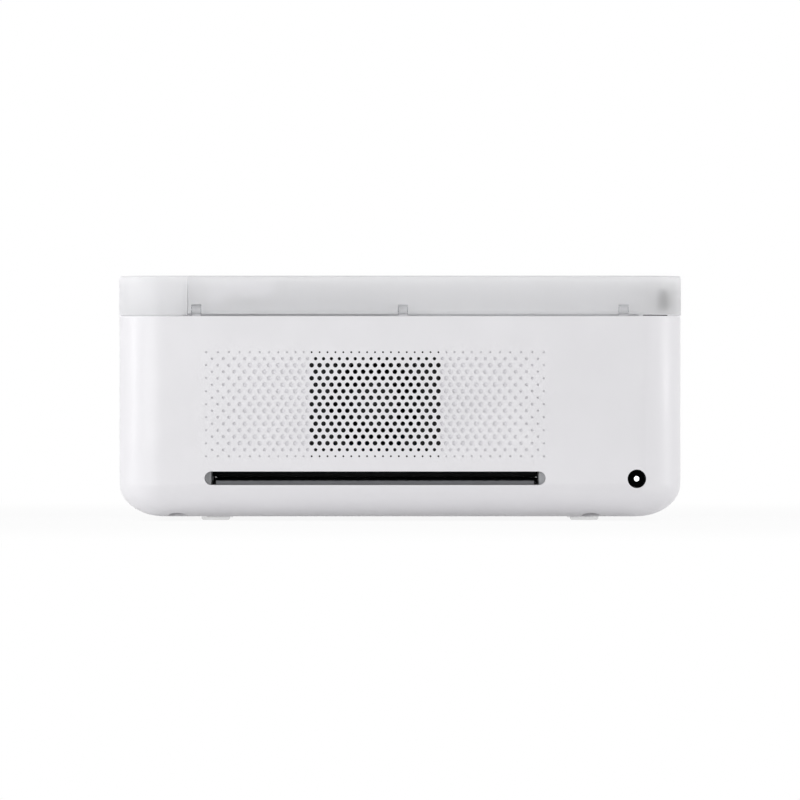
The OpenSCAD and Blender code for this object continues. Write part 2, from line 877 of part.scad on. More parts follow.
capstan_at = [capstan_y, capstan_z];
platen_at = [head_y, platen_z];
motor_at = capstan_at + [21.5, 16.15];
idler_at = meet(platen_at, capstan_at, pitch_r(platen_teeth + idler_teeth),
    pitch_r(capstan_teeth + idler_teeth));
reduction_at = meet(capstan_at, motor_at, pitch_r(capstan_teeth + reduction_teeth),
    pitch_r(pinion_teeth + reduction_teeth));
take_up_at = [take_up_y, spool_z];
ribbon_motor_at = take_up_at - [pitch_r(hub_teeth + pinion_teeth), 0];
feed_gear_x = frame_x0 - frame_t - gear_gap - gear_w;
ribbon_gear_x = feed_gear_x - 7.5;

// Outline of a chassis plate, with its lower corners cut back over the tub's round edges
module plate_outline() {
    corner = 11;
    rear_corner = 5;
    polygon([[plate_front, plate_low + corner - 1.5], [plate_front + corner, plate_low],
        [plate_rear - rear_corner, plate_low], [plate_rear, plate_low + rear_corner],
        [plate_rear, plate_top], [plate_front, plate_top]]);
}

// Clearance round what is pressed into a hole
fit = 0.01;

// Holes that both plates share: roller bushes, fixed shafts and a lightening hole
module shared_holes() {
    translate(capstan_at)
        circle(journal_r + bush_wall + fit);
    translate(platen_at)
        circle(journal_r + bush_wall + fit);
    translate([capstan_y, pinch_z])
        circle(pinch_journal_r + bush_wall + fit);
    translate([pickup_y, pickup_z])
        circle(pickup_shaft_r + fit);
    translate([pivot_y, pivot_z])
        circle(pivot_r + fit);
    translate([-38, 27])
        round_rect(18, 16, 3);
}

// Feet of a chassis plate that stand on the tub's bosses
module plate_feet(side) {
    near = paper_x + side * (frame_span / 2 + frame_t - tiny);
    far = paper_x + side * (frame_span / 2 + frame_t + flange_w);
    half_l = 6;
    for (b = bosses)
        if (b[0] == side)
            difference() {
                block([min(near, far), b[1] - half_l, boss_top],
                    [max(near, far), b[1] + half_l, boss_top + flange_t]);
                translate([boss_x(side), b[1], 0])
                    cylinder(r = chassis_screw_r + 0.15, h = boss_top + flange_t + over);
            }
}

module chassis_left() {
    shaft_hole_r = 2;
    supply_hole_r = 8;
    color(steel) {
        along_x(frame_x0 - frame_t, frame_x0)
            difference() {
                plate_outline();
                shared_holes();
                translate(take_up_at)
                    circle(hub_r + bush_wall + fit);
                for (p = [idler_at, reduction_at])
                    translate(p)
                        circle(gear_pin_r + fit);
                translate(motor_at)
                    circle(shaft_hole_r);
                translate([supply_y, spool_z])
                    circle(supply_hole_r);
            }
        plate_feet(-1);
    }
}

window_gap = 1.4;

// Way through the right plate for the ribbon cartridge and its film
module cartridge_window() {
    translate([head_y, spool_z])
        stadium(spool_gap + 2 * tube_r + 2 * window_gap, 2 * (tube_r + window_gap));
    polygon([[web_exit_y0 - 4, spool_z - 5], [web_y0 - 2, web_z - 1.2], [web_y1 + 2, web_z - 1.2],
        [web_exit_y1 + 2.4, spool_z - 5]]);
}

module chassis_right() {
    color(steel) {
        along_x(frame_x1, frame_x1 + frame_t)
            difference() {
                plate_outline();
                shared_holes();
                cartridge_window();
            }
        plate_feet(1);
    }
}

module cassette_bed() {
    bed_t = 1.2;
    bed_top = bay_z - 0.2;
    bed_rear = supply_y - 12;
    lip_h = 4.8;
    hole = [22, 14, 3];
    color(steel)
        difference() {
            union() {
                block([frame_x0, plate_front + 1, bed_top - bed_t], [frame_x1, bed_rear, bed_top]);
                block([frame_x0, bed_rear - bed_t, bed_top - lip_h], [frame_x1, bed_rear, bed_top]);
            }
            for (x = [-35, 0, 35])
                translate([paper_x + x, (plate_front + supply_y) / 2 - 5, 0])
                    linear_extrude(bay_z + over)
                        round_rect(hole[0], hole[1], hole[2]);
        }
}

module front_brace() {
    brace_t = 1.2;
    front = plate_front + 6;
    rear = plate_front + 18;
    hole_r = 2.5;
    color(steel)
        difference() {
            union() {
                block([frame_x0, front, plate_top - brace_t], [frame_x1, rear, plate_top]);
                block([frame_x0, rear - brace_t, plate_top - 5], [frame_x1, rear, plate_top]);
            }
            for (x = [-36, -12, 12, 36])
                translate([paper_x + x, front + 5, plate_top])
                    cylinder(r = hole_r, h = 6, center = true);
        }
}

module chassis_screws() {
    bite = 1.8;
    cap_r = 2.3;
    cap_t = 1.4;
    color(steel)
        for (b = bosses)
            translate([boss_x(b[0]), b[1], boss_top + flange_t])
                mirror([0, 0, 1])
                    screw_up(chassis_screw_r - pin_fit, flange_t + bite, cap_r, cap_t);
}

// ---------- Rear paper guide ----------
guide_t = 1.2;
guide_front = 29.2;

module rear_paper_guide() {
    mouth = 5.5;
    flare = 2.2;
    side_t = 1.5;
    neck_w = frame_span - 2 * side_t;
    color(pale_part)
        difference() {
            union() {
                block([frame_x0, guide_front, slot_z - slot_h / 2 - guide_t],
                    [frame_x1, plate_rear, slot_z + slot_h / 2 + guide_t]);
                block([paper_x - slot_w / 2 - side_t, plate_rear + 0.4, slot_z - slot_h / 2 - guide_t],
                    [paper_x + slot_w / 2 + side_t, in_y - 0.4, slot_z + slot_h / 2 + guide_t]);
                block([frame_x0 + 2, plate_rear - over, slot_z - slot_h / 2 - guide_t],
                    [frame_x1 - 2, plate_rear + over, slot_z + slot_h / 2 + guide_t]);
            }
            block([paper_x - neck_w / 2, guide_front - over, slot_z - slot_h / 2],
                [paper_x + neck_w / 2, in_y, slot_z + slot_h / 2]);
            translate([0, guide_front - tiny, slot_z])
                along_x(paper_x - neck_w / 2, paper_x + neck_w / 2)
                    polygon([[0, -slot_h / 2 - guide_t / 2], [flare, -slot_h / 2], [flare, slot_h / 2],
                        [0, slot_h / 2 + guide_t / 2]]);
            block([paper_x - slot_w / 2, in_y - mouth, slot_z - slot_h / 2],
                [paper_x + slot_w / 2, in_y + over, slot_z + slot_h / 2]);
        }
}

// ---------- Rollers and gears ----------
module ring_x(x0, x1, at, r_out, r_in) {
    translate([x0, at[0], at[1]])
        rotate([90, 0, 90])
            difference() {
                cylinder(r = r_out, h = x1 - x0);
                translate([0, 0, -over])
                    cylinder(r = r_in, h = x1 - x0 + 2 * over);
            }
}

module roller_bushes() {
    lip = 0.5;
    color(gear_white) {
        for (x = [frame_x0 - frame_t, frame_x1]) {
            for (at = [capstan_at, platen_at])
                ring_x(x - lip, x + frame_t + lip, at, journal_r + bush_wall, journal_r + play);
            ring_x(x - lip, x + frame_t + lip, [capstan_y, pinch_z], pinch_journal_r + bush_wall,
                pinch_journal_r + play);
        }
        ring_x(frame_x0 - frame_t - lip, frame_x0 + lip, take_up_at, hub_r + bush_wall, hub_r + play);
    }
}

roll_gap = 1.5;

// Roller with a thinner journal at each end, which reaches the gears on the left
module roller(at, r, jr, left) {
    rod_x(frame_x0 + roll_gap, frame_x1 - roll_gap, at[0], at[1], r);
    rod_x(left, frame_x1 + frame_t + 1.2, at[0], at[1], jr);
}

module platen_roller() {
    color(rubber)
        roller(platen_at, platen_r, journal_r, feed_gear_x - 0.4);
}

module capstan_roller() {
    color(steel)
        roller(capstan_at, capstan_r, journal_r, feed_gear_x - 0.4);
}

module pinch_roller() {
    color(rubber)
        roller([capstan_y, pinch_z], pinch_r, pinch_journal_r, frame_x0 - frame_t - 0.6);
}

gear_slack = 0.16;
tip_share = 0.8;
root_share = 1.25;
flank_steps = 4;
pressure_angle = 20;

// Involute of an angle, in degrees
function involute(a) = tan(a) * 180 / PI - a;

// Half width of a tooth at radius r, as an angle at the gear's centre
function half_tooth(n, r) =
    let (pr = pitch_r(n), base = pr * cos(pressure_angle), a = r > base ? acos(base / r) : 0)
    (PI * gear_m / 2 - gear_slack) / (2 * pr) * 180 / PI + involute(pressure_angle) - involute(a);

// Outline of a gear of n teeth, with one tooth centred on the angle phase
module gear_outline(n, phase) {
    pr = pitch_r(n);
    root = pr - root_share * gear_m;
    tip = pr + tip_share * gear_m;
    start = max(root + 0.05, pr * cos(pressure_angle));
    radii = concat([root], [for (i = [0:flank_steps]) start + i / flank_steps * (tip - start)]);
    flank = [for (r = radii) [r, half_tooth(n, r)]];
    polygon([for (k = [0:n - 1])
        let (at = phase + 360 * k / n)
        for (p = concat([for (f = flank) [f[0], -f[1]]], [for (i = [len(flank) - 1:-1:0]) flank[i]]))
            [p[0] * cos(at + p[1]), p[0] * sin(at + p[1])]]);
}

// Phase of gear b that meshes with gear a, whose tooth stands at phase_a
function mesh_phase(a, b, na, nb, phase_a) =
    let (dir = atan2(b[1] - a[1], b[0] - a[0]))
    dir + 180 + 180 / nb + (dir - phase_a) * na / nb;

capstan_phase = 0;
idler_phase = mesh_phase(capstan_at, idler_at, capstan_teeth, idler_teeth, capstan_phase);
platen_phase = mesh_phase(idler_at, platen_at, idler_teeth, platen_teeth, idler_phase);
reduction_phase = mesh_phase(capstan_at, reduction_at, capstan_teeth, reduction_teeth, capstan_phase);
pinion_phase = mesh_phase(reduction_at, motor_at, reduction_teeth, pinion_teeth, reduction_phase);
hub_phase = 0;
ribbon_pinion_phase = mesh_phase(take_up_at, ribbon_motor_at, hub_teeth, pinion_teeth, hub_phase);

// Spur gear along X with a bore
module gear(x, at, n, phase, bore) {
    translate([x, at[0], at[1]])
        rotate([90, 0, 90])
            linear_extrude(gear_w)
                difference() {
                    gear_outline(n, phase);
                    circle(bore);
                }
}

module capstan_gear() {
    color(gear_white)
        gear(feed_gear_x, capstan_at, capstan_teeth, capstan_phase, journal_r + fit);
}

module platen_gear() {
    color(gear_white)
        gear(feed_gear_x, platen_at, platen_teeth, platen_phase, journal_r + fit);
}

gear_pin_r = 1.5;

module idler_gear() {
    color(gear_white)
        gear(feed_gear_x, idler_at, idler_teeth, idler_phase, gear_pin_r + play);
}

module reduction_gear() {
    hole_ring = 6;
    hole_r = 1.8;
    color(gear_white)
        difference() {
            gear(feed_gear_x, reduction_at, reduction_teeth, reduction_phase, gear_pin_r + play);
            for (a = [30:60:330])
                rod_x(feed_gear_x - over, feed_gear_x + gear_w + over, reduction_at[0] + hole_ring * cos(a),
                    reduction_at[1] + hole_ring * sin(a), hole_r);
        }
}

module gear_pins() {
    cap_r = 2.4;
    color(steel)
        for (p = [idler_at, reduction_at]) {
            rod_x(feed_gear_x - 0.3, frame_x0, p[0], p[1], gear_pin_r);
            rod_x(feed_gear_x - 1, feed_gear_x - 0.2, p[0], p[1], cap_r);
        }
}

motor_r = 8.5;
motor_l = 24;
motor_shaft_r = 1;
shaft_tail = 1;

// Can motor with a thicker middle; the shaft through it belongs to its pinion
module motor(x0, x1, at, r) {
    rim = 2;
    yoke = 0.3;
    difference() {
        union() {
            rod_x(x0, x1, at[0], at[1], r);
            rod_x(x0 + rim, x1 - rim, at[0], at[1], r + yoke);
        }
        rod_x(x0 - over, x1 + over, at[0], at[1], motor_shaft_r + play);
    }
}

module feed_motor() {
    color("#8d9094")
        motor(frame_x0, frame_x0 + motor_l, motor_at, motor_r);
}

module motor_pinion() {
    color("#c9b26a") {
        gear(feed_gear_x, motor_at, pinion_teeth, pinion_phase, motor_shaft_r);
        rod_x(feed_gear_x, frame_x0 + motor_l + shaft_tail, motor_at[0], motor_at[1], motor_shaft_r);
    }
}

// ---------- Print head ----------
ribbon_t = 0.15;
web_z = slot_z + paper_half + 0.2;
web_y0 = head_y - 6;
web_y1 = head_y + 8;
head_low = web_z + ribbon_t + 0.15;
arm_z = spool_z + tube_r + 0.7;
arm_t = 1.2;
head_x0 = frame_x0 + 6;
head_x1 = frame_x1 - 6;
head_h = 14.65;

// Lifts what is drawn in the printing position into the parked position
module parked() {
    translate([0, pivot_y, pivot_z])
        rotate([park_deg, 0, 0])
            translate([0, -pivot_y, -pivot_z])
                children();
}

module head_arm() {
    ear_t = 1.2;
    eye_r = 2.9;
    color(steel)
        parked() {
            for (x = [frame_x0 + 3, frame_x1 - 3 - ear_t])
                along_x(x, x + ear_t)
                    difference() {
                        union() {
                            translate([pivot_y, pivot_z])
                                circle(eye_r);
                            translate([pivot_y, arm_z])
                                square([head_y + 6 - pivot_y, pivot_z - arm_z]);
                        }
                        translate([pivot_y, pivot_z])
                            circle(pivot_r + play);
                    }
            difference() {
                block([frame_x0 + 3, pivot_y + 4, arm_z], [frame_x1 - 3, head_y + 6, arm_z + arm_t]);
                for (x = [-42, -14, 14, 42])
                    translate([paper_x + x, pivot_y + 12, 0])
                        linear_extrude(printer_h)
                            round_rect(22, 10, 2);
            }
        }
}

module head_heatsink() {
    spine = 3;
    fin_w = 14;
    fin_pitch = 3.6;
    fin_count = 5;
    fin_t = 1.1;
    low = head_low + head_h;
    color("#a7abb0")
        parked()
            along_x(head_x0, head_x1) {
                translate([head_y - spine / 2, low])
                    square([spine, arm_z - low]);
                for (i = [0:fin_count - 1])
                    translate([head_y - fin_w / 2, low + 3 + i * fin_pitch])
                        square([fin_w, fin_t]);
            }
}

module print_head() {
    tip = 1.5;
    half = 4.5;
    color("#53565a")
        parked()
            along_x(head_x0, head_x1)
                translate([head_y, head_low])
                    polygon([[-half, head_h], [half, head_h], [half, 7], [2.1, 1], [tip, 0], [-tip, 0],
                        [-2.1, 1], [-half, 7]]);
}

module head_pivot_shaft() {
    color(steel)
        rod_x(frame_x0 - frame_t, frame_x1 + frame_t, pivot_y, pivot_z, pivot_r);
}

// ---------- Paper pick-up ----------
pickup_reach = 19;
pickup_rise = 1;
pickup_r = 6;
tyre_w = 14;
tyre_x = 18;
cheek_x = 32;
pickup_axle_r = 1.8;
axle_y = pickup_y + pickup_reach;
axle_z = pickup_z + pickup_rise;

module pickup_shaft() {
    color(steel)
        rod_x(frame_x0 - frame_t, frame_x1 + frame_t, pickup_y, pickup_z, pickup_shaft_r);
}

module pickup_arm() {
    cheek_t = 2;
    eye = 3.9;
    tip_r = 3.2;
    color(pale_part)
        difference() {
            union() {
                rod_x(paper_x - cheek_x, paper_x + cheek_x, pickup_y, pickup_z, eye);
                for (s = [-1, 1])
                    along_x(paper_x + s * cheek_x - cheek_t / 2, paper_x + s * cheek_x + cheek_t / 2) {
                        translate([pickup_y, pickup_z])
                            circle(eye);
                        translate([axle_y, axle_z])
                            circle(tip_r);
                        polygon([[pickup_y, pickup_z - eye], [axle_y, axle_z - tip_r],
                            [axle_y, axle_z + tip_r], [pickup_y, pickup_z + eye]]);
                    }
            }
            rod_x(paper_x - cheek_x - over * 2, paper_x + cheek_x + over * 2, pickup_y, pickup_z,
                pickup_shaft_r + play);
            rod_x(paper_x - cheek_x - over * 2, paper_x + cheek_x + over * 2, axle_y, axle_z,
                pickup_axle_r + play);
        }
}

module pickup_roller() {
    color(rubber)
        union() {
            for (s = [-1, 1])
                rod_x(paper_x + s * tyre_x - tyre_w / 2, paper_x + s * tyre_x + tyre_w / 2, axle_y, axle_z,
                    pickup_r);
            rod_x(paper_x - cheek_x - 2, paper_x + cheek_x + 2, axle_y, axle_z, pickup_axle_r);
        }
}

// ---------- Ribbon cartridge ----------
cart_x0 = frame_x0 + 3.4;
cart_x1 = in_x - 11;
plate_x = frame_x1 + frame_t + 1;
tube_wall = 1.2;
cart_pin_r = 2;
slot_gap = 5;
supply_slot_deg = -61;
take_up_slot_deg = -119;
web_exit_y0 = supply_y + (tube_r + 1) * cos(supply_slot_deg);
web_exit_y1 = take_up_y + (tube_r + 1) * cos(take_up_slot_deg);
neck_r = 5.2;
supply_wound = 9;
take_up_wound = 6;
film_w = 102;

// Open tube round a spool, with a slot that lets the film out
module spool_tube(y, slot_deg) {
    along_x(cart_x0, plate_x + over)
        translate([y, spool_z])
            difference() {
                circle(tube_r);
                circle(tube_r - tube_wall);
                rotate([0, 0, slot_deg])
                    translate([0, -slot_gap / 2])
                        square([2 * tube_r, slot_gap]);
            }
    ring_x(cart_x0, cart_x0 + tube_wall, [y, spool_z], tube_r, neck_r + 0.1);
}

module ribbon_cartridge() {
    end_t = 2.5;
    pull_w = 20;
    pull_h = 4;
    color("#3a3c40") {
        spool_tube(supply_y, supply_slot_deg);
        spool_tube(take_up_y, take_up_slot_deg);
        along_x(plate_x, plate_x + end_t)
            translate([head_y, spool_z])
                difference() {
                    stadium(spool_gap + 2 * tube_r, 2 * tube_r);
                    translate([0, -tube_r])
                        round_rect(12, 10, 2);
                }
        block([plate_x + end_t - tiny, head_y - pull_w / 2, spool_z - pull_h / 2],
            [cart_x1, head_y + pull_w / 2, spool_z + pull_h / 2]);
        block([cart_x1 - 2.5, head_y - pull_w / 2, spool_z - pull_h],
            [cart_x1, head_y + pull_w / 2, spool_z + pull_h]);
        for (y = [supply_y, take_up_y])
            rod_x(plate_x - 6, plate_x + tiny, y, spool_z, cart_pin_r);
    }
}

// Spool with a wound middle, a neck with a socket at the left and a bore at the right
module spool(y, wound) {
    core = 4.8;
    socket_r = 4.4;
    difference() {
        union() {
            rod_x(cart_x0 - 0.6, plate_x - 0.6, y, spool_z, core);
            rod_x(cart_x0 - 0.6, cart_x0 + 3, y, spool_z, neck_r);
            rod_x(paper_x - film_w / 2, paper_x + film_w / 2, y, spool_z, wound);
            rod_x(plate_x - 4, plate_x - 0.6, y, spool_z, tube_r - tube_wall - 0.6);
        }
        rod_x(cart_x0 - over, cart_x0 + 9, y, spool_z, socket_r);
        rod_x(plate_x - 7, plate_x, y, spool_z, cart_pin_r + play);
    }
}

module supply_spool() {
    color("#2d2a33")
        spool(supply_y, supply_wound);
}

module take_up_spool() {
    color("#2d2a33")
        spool(take_up_y, take_up_wound);
}

// Where the film leaves the winding of the spool at y
function leaves(y, wound, deg) = [y + (wound + 0.4) * cos(deg), spool_z + (wound + 0.4) * sin(deg)];

// Film from one spool to the other, under the print head
module ribbon_film() {
    rise = 0.3;
    start = leaves(supply_y, supply_wound, supply_slot_deg);
    stop = leaves(take_up_y, take_up_wound, take_up_slot_deg);
    low = [[web_y0, web_z], [web_y1, web_z]];
    color("#4a3f5c")
        along_x(paper_x - film_w / 2, paper_x + film_w / 2)
            polygon([start, low[0], low[1], stop, stop + [0, rise], low[1] + [-0.1, ribbon_t],
                low[0] + [0.1, ribbon_t], start + [0, rise]]);
}

module take_up_hub() {
    nose_r = 4.2;
    color(gear_white)
        union() {
            rod_x(frame_x0 + 0.8, cart_x0 + 7.5, take_up_at[0], take_up_at[1], nose_r);
            rod_x(ribbon_gear_x - 3.4, frame_x0 + 0.9, take_up_at[0], take_up_at[1], hub_r);
            gear(ribbon_gear_x, take_up_at, hub_teeth, hub_phase, hub_r - 0.5);
        }
}

bracket_x = ribbon_gear_x - 2.2;
bracket_t = 1.2;
ribbon_motor_r = 7.5;
ribbon_motor_l = 20;
standoffs = [[-19, 9], [11, 8], [-18, -8]];
standoff_r = 2;

module ribbon_motor_bracket() {
    color(steel) {
        along_x(bracket_x - bracket_t, bracket_x)
            difference() {
                translate(take_up_at + [-4, 0.5])
                    round_rect(37, 23.5, 3);
                translate(take_up_at)
                    circle(hub_r + play);
                translate(ribbon_motor_at)
                    circle(motor_shaft_r + 0.6);
            }
        for (p = standoffs)
            rod_x(bracket_x - tiny, frame_x0 - frame_t, take_up_at[0] + p[0], take_up_at[1] + p[1],
                standoff_r);
    }
}

module ribbon_motor() {
    color("#8d9094")
        motor(bracket_x - bracket_t - ribbon_motor_l, bracket_x - bracket_t, ribbon_motor_at, ribbon_motor_r);
}

module ribbon_motor_pinion() {
    color("#c9b26a") {
        gear(ribbon_gear_x, ribbon_motor_at, pinion_teeth, ribbon_pinion_phase, motor_shaft_r);
        rod_x(bracket_x - bracket_t - ribbon_motor_l - shaft_tail, ribbon_gear_x + gear_w, ribbon_motor_at[0],
            ribbon_motor_at[1], motor_shaft_r);
    }
}

// ---------- Fan ----------
duct_half_w = 23.2;
duct_half_h = 19.6;
duct_t = 0.8;
duct_depth = 7;
duct_back = 1.2;
fan_y = in_y - duct_depth - fan_t;
blade_count = 7;
fan_bolt = 2.8;
fan_bolt_r = 1.4;
fan_lip = 1;
spindle_r = 1;

module fan_bolt_holes(y0, h) {
    for (sx = [-1, 1], sz = [-1, 1])
        rod_y(paper_x + sx * (fan_size / 2 - fan_bolt), y0, vent_z + sz * (fan_size / 2 - fan_bolt),
            fan_bolt_r, h);
}

module fan_duct() {
    inner_w = duct_half_w - duct_t;
    inner_h = duct_half_h - duct_t;
    color(black_part)
        difference() {
            block([paper_x - duct_half_w, in_y - duct_depth, vent_z - duct_half_h],
                [paper_x + duct_half_w, in_y, vent_z + duct_half_h]);
            block([paper_x - inner_w, in_y - duct_depth + duct_back, vent_z - inner_h],
                [paper_x + inner_w, in_y + over, vent_z + inner_h]);
            rod_y(paper_x, in_y - duct_depth - over, vent_z, fan_size / 2 - fan_lip, 4);
            fan_bolt_holes(in_y - duct_depth - over, 4);
        }
}

module cooling_fan() {
    hub = 8;
    strut = 1.6;
    seat_t = 1.4;
    color(black_part)
        difference() {
            union() {
                difference() {
                    translate([paper_x, fan_y, vent_z])
                        rotate([-90, 0, 0])
                            linear_extrude(fan_t)
                                round_rect(fan_size, fan_size, 3);
                    rod_y(paper_x, fan_y - over, vent_z, fan_size / 2 - fan_lip, fan_t + 2 * over);
                }
                rod_y(paper_x, fan_y, vent_z, hub, seat_t);
                for (a = [45:90:315])
                    translate([paper_x, fan_y + seat_t / 2, vent_z])
                        rotate([0, a, 0])
                            translate([fan_size / 4, 0, 0])
                                cube([fan_size / 2 - 0.6, seat_t, strut], center = true);
            }
            fan_bolt_holes(fan_y - over, fan_t + 2 * over);
            rod_y(paper_x, fan_y - over, vent_z, spindle_r + play, seat_t + 2 * over);
        }
}

module fan_rotor() {
    hub = 7.6;
    blade_t = 0.9;
    pitch = 38;
    gap = 0.7;
    color(black_part)
        union() {
            rod_y(paper_x, fan_y + 1.8, vent_z, hub, fan_t - 2.6);
            rod_y(paper_x, fan_y + 0.2, vent_z, spindle_r, 3);
            intersection() {
                rod_y(paper_x, fan_y + 1.8, vent_z, fan_size / 2 - fan_lip - gap, fan_t - 2.6);
                translate([paper_x, fan_y + fan_t / 2 + 0.5, vent_z])
                    for (i = [0:blade_count - 1])
                        rotate([0, 360 * i / blade_count, 0])
                            translate([hub - 1, 0, 0])
                                rotate([pitch, 0, 0])
                                    translate([0, -fan_t / 2, -blade_t / 2])
                                        cube([fan_size / 2, fan_t, blade_t]);
            }
        }
}

// ---------- Electronics ----------
board = [[-90, -38, 7.4], [-60, 51, 9]];
board_posts = [[-80, -30], [-64, -30], [-80, 28], [-64, 28]];
board_post_r = 2.6;
board_hole_r = 1.2;
jack_z = slot_z - 0.2;

module main_board() {
    top = board[1][2];
    cans = [[-84, 12], [-84, 1], [-74, 34]];
    can = [4, 11];
    sockets = 4;
    socket_pitch = 8;
    socket_h = 4.5;
    color("#2f6b4a")
        difference() {
            union() {
                block(board[0], board[1]);
                for (c = cans)
                    translate([c[0], c[1], top - tiny])
                        cylinder(r = can[0], h = can[1]);
                block([-78, -20, top - tiny], [-64, -6, top + 1.6]);
                block([-76, 2, top - tiny], [-66, 12, top + 1.2]);
                for (i = [0:sockets - 1])
                    block([-88, -34 + i * socket_pitch, top - tiny],
                        [-83, -28.5 + i * socket_pitch, top + socket_h]);
            }
            block([posts[2][0] - post_r - 1, posts[2][1] - post_r - 1, 0], [0, printer_d, printer_h]);
            for (p = board_posts)
                translate([p[0], p[1], 0])
                    cylinder(r = board_hole_r, h = top + over);
        }
}

module dc_jack() {
    nose_r = 3.9;
    half_w = 4.5;
    top = 5.3;
    front = in_y - 2.9;
    depth = 13.5;
    nose = 1.6;
    bore_r = 2.85;
    bore_l = 9;
    pin_r = 1;
    color(black_part)
        difference() {
            union() {
                block([jack_x - half_w, front - depth, board[1][2]], [jack_x + half_w, front, jack_z + top]);
                rod_y(jack_x, front - tiny, jack_z, nose_r, nose);
            }
            difference() {
                rod_y(jack_x, front + nose - bore_l, jack_z, bore_r, bore_l + over);
                rod_y(jack_x, front + nose - bore_l - over, jack_z, pin_r, bore_l);
            }
        }
}

main_casing();
rubber_feet();
casing_screws();
top_deck();
end_cap();
lid();
lid_hinge_bar();
lid_catch_plates();
lid_hinge_pins();
lid_hinge_damper();
catch_magnets();
front_door();
front_door_pin();
ribbon_door();
ribbon_door_pin();
power_button();
power_switch();
status_light();
paper_cassette();
cassette_cover();
paper_lift_plate();
paper_stack();
chassis_left();
chassis_right();
cassette_bed();
front_brace();
chassis_screws();
rear_paper_guide();
roller_bushes();
platen_roller();
capstan_roller();
pinch_roller();
platen_gear();
capstan_gear();
idler_gear();
reduction_gear();
gear_pins();
feed_motor();
motor_pinion();
print_head();
head_heatsink();
head_arm();
head_pivot_shaft();
pickup_shaft();
pickup_arm();
pickup_roller();
ribbon_cartridge();
ribbon_film();
supply_spool();
take_up_spool();
take_up_hub();
ribbon_motor();
ribbon_motor_pinion();
ribbon_motor_bracket();
fan_duct();
cooling_fan();
fan_rotor();
main_board();
dc_jack();
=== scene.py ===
"""Looks of a compact photo printer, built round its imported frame.

The printer stands with its vented rear towards the camera (+Y), its paper door at the front (-Y)
and its ribbon door at +X. Sizes are written in millimetres and become metres where a mesh is made.
"""

from __future__ import annotations

import json
import logging
import math
from collections.abc import Callable
from dataclasses import dataclass, field, replace
from enum import Enum

import bmesh
import bpy
import numpy as np
from mathutils import Euler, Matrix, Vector

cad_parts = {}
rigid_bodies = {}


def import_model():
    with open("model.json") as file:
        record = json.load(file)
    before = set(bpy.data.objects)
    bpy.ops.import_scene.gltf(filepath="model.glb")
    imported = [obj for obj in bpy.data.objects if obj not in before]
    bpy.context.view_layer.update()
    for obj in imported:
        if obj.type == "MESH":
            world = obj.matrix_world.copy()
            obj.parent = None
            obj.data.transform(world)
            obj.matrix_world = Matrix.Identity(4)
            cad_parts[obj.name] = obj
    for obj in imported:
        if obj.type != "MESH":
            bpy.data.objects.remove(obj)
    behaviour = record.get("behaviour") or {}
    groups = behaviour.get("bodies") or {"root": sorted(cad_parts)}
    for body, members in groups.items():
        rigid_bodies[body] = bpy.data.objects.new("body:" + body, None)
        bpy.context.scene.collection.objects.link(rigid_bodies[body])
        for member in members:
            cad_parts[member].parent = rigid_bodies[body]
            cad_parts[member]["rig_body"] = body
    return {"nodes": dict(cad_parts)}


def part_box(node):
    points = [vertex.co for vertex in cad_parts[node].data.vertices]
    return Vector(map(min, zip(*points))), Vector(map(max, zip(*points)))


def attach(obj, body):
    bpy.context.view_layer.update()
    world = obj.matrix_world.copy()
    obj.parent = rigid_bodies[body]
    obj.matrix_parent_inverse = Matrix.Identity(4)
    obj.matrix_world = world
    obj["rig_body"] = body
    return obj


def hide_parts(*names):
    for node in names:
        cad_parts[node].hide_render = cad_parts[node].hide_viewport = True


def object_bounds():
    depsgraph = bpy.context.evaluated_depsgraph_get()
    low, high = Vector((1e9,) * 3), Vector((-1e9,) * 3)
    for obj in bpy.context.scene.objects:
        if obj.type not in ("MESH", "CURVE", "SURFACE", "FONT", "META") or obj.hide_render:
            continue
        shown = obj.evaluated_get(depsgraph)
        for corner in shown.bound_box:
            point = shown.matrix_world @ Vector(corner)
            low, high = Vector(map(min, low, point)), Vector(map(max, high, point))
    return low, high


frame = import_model()
cad_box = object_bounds()

log = logging.getLogger("printer")

MM = 0.001
# An edge or a seam that turns more than this stays sharp, in degrees
SHARP_DEG = 30.0
# How far the wave texture's phase turns over one unit, in radians
WAVE_RATE = 20.0

Tree = bpy.types.NodeTree
Socket = bpy.types.NodeSocket
Piece = bpy.types.Object
Mask = Callable[[np.ndarray], np.ndarray]


# ---------------------------------------------------------------- shader helpers


def linear(colour: str) -> tuple[float, float, float, float]:
    """Turn an sRGB hex colour into linear values.

    Args:
        colour: six hex digits, such as "ededec".

    Returns:
        Linear red, green and blue, then one for full opacity.
    """
    parts = [int(colour[i : i + 2], 16) / 255 for i in (0, 2, 4)]
    red, green, blue = (c / 12.92 if c <= 0.04045 else ((c + 0.055) / 1.055) ** 2.4 for c in parts)
    return red, green, blue, 1.0


def add_node(tree: Tree, kind: str, feeds: dict | None = None, **settings) -> bpy.types.Node:
    """Add one node with its settings and what feeds it.

    Args:
        tree: the node tree to add to.
        kind: the node's type name.
        feeds: socket name or number to an output socket or a plain value.
        settings: the node's own properties.

    Returns:
        The new node.
    """
    node = tree.nodes.new(kind)
    for name, value in settings.items():
        setattr(node, name, value)
    for key, value in (feeds or {}).items():
        if isinstance(value, Socket):
            tree.links.new(value, node.inputs[key])
        else:
            node.inputs[key].default_value = value
    return node


class Lay(Enum):
    """Direction in which a metal was ground, drawn or rolled, as stretch factors per axis."""

    ALONG_X = (0.02, 1.0, 1.0)
    ALONG_Y = (1.0, 0.02, 1.0)
    NONE = (1.0, 1.0, 1.0)


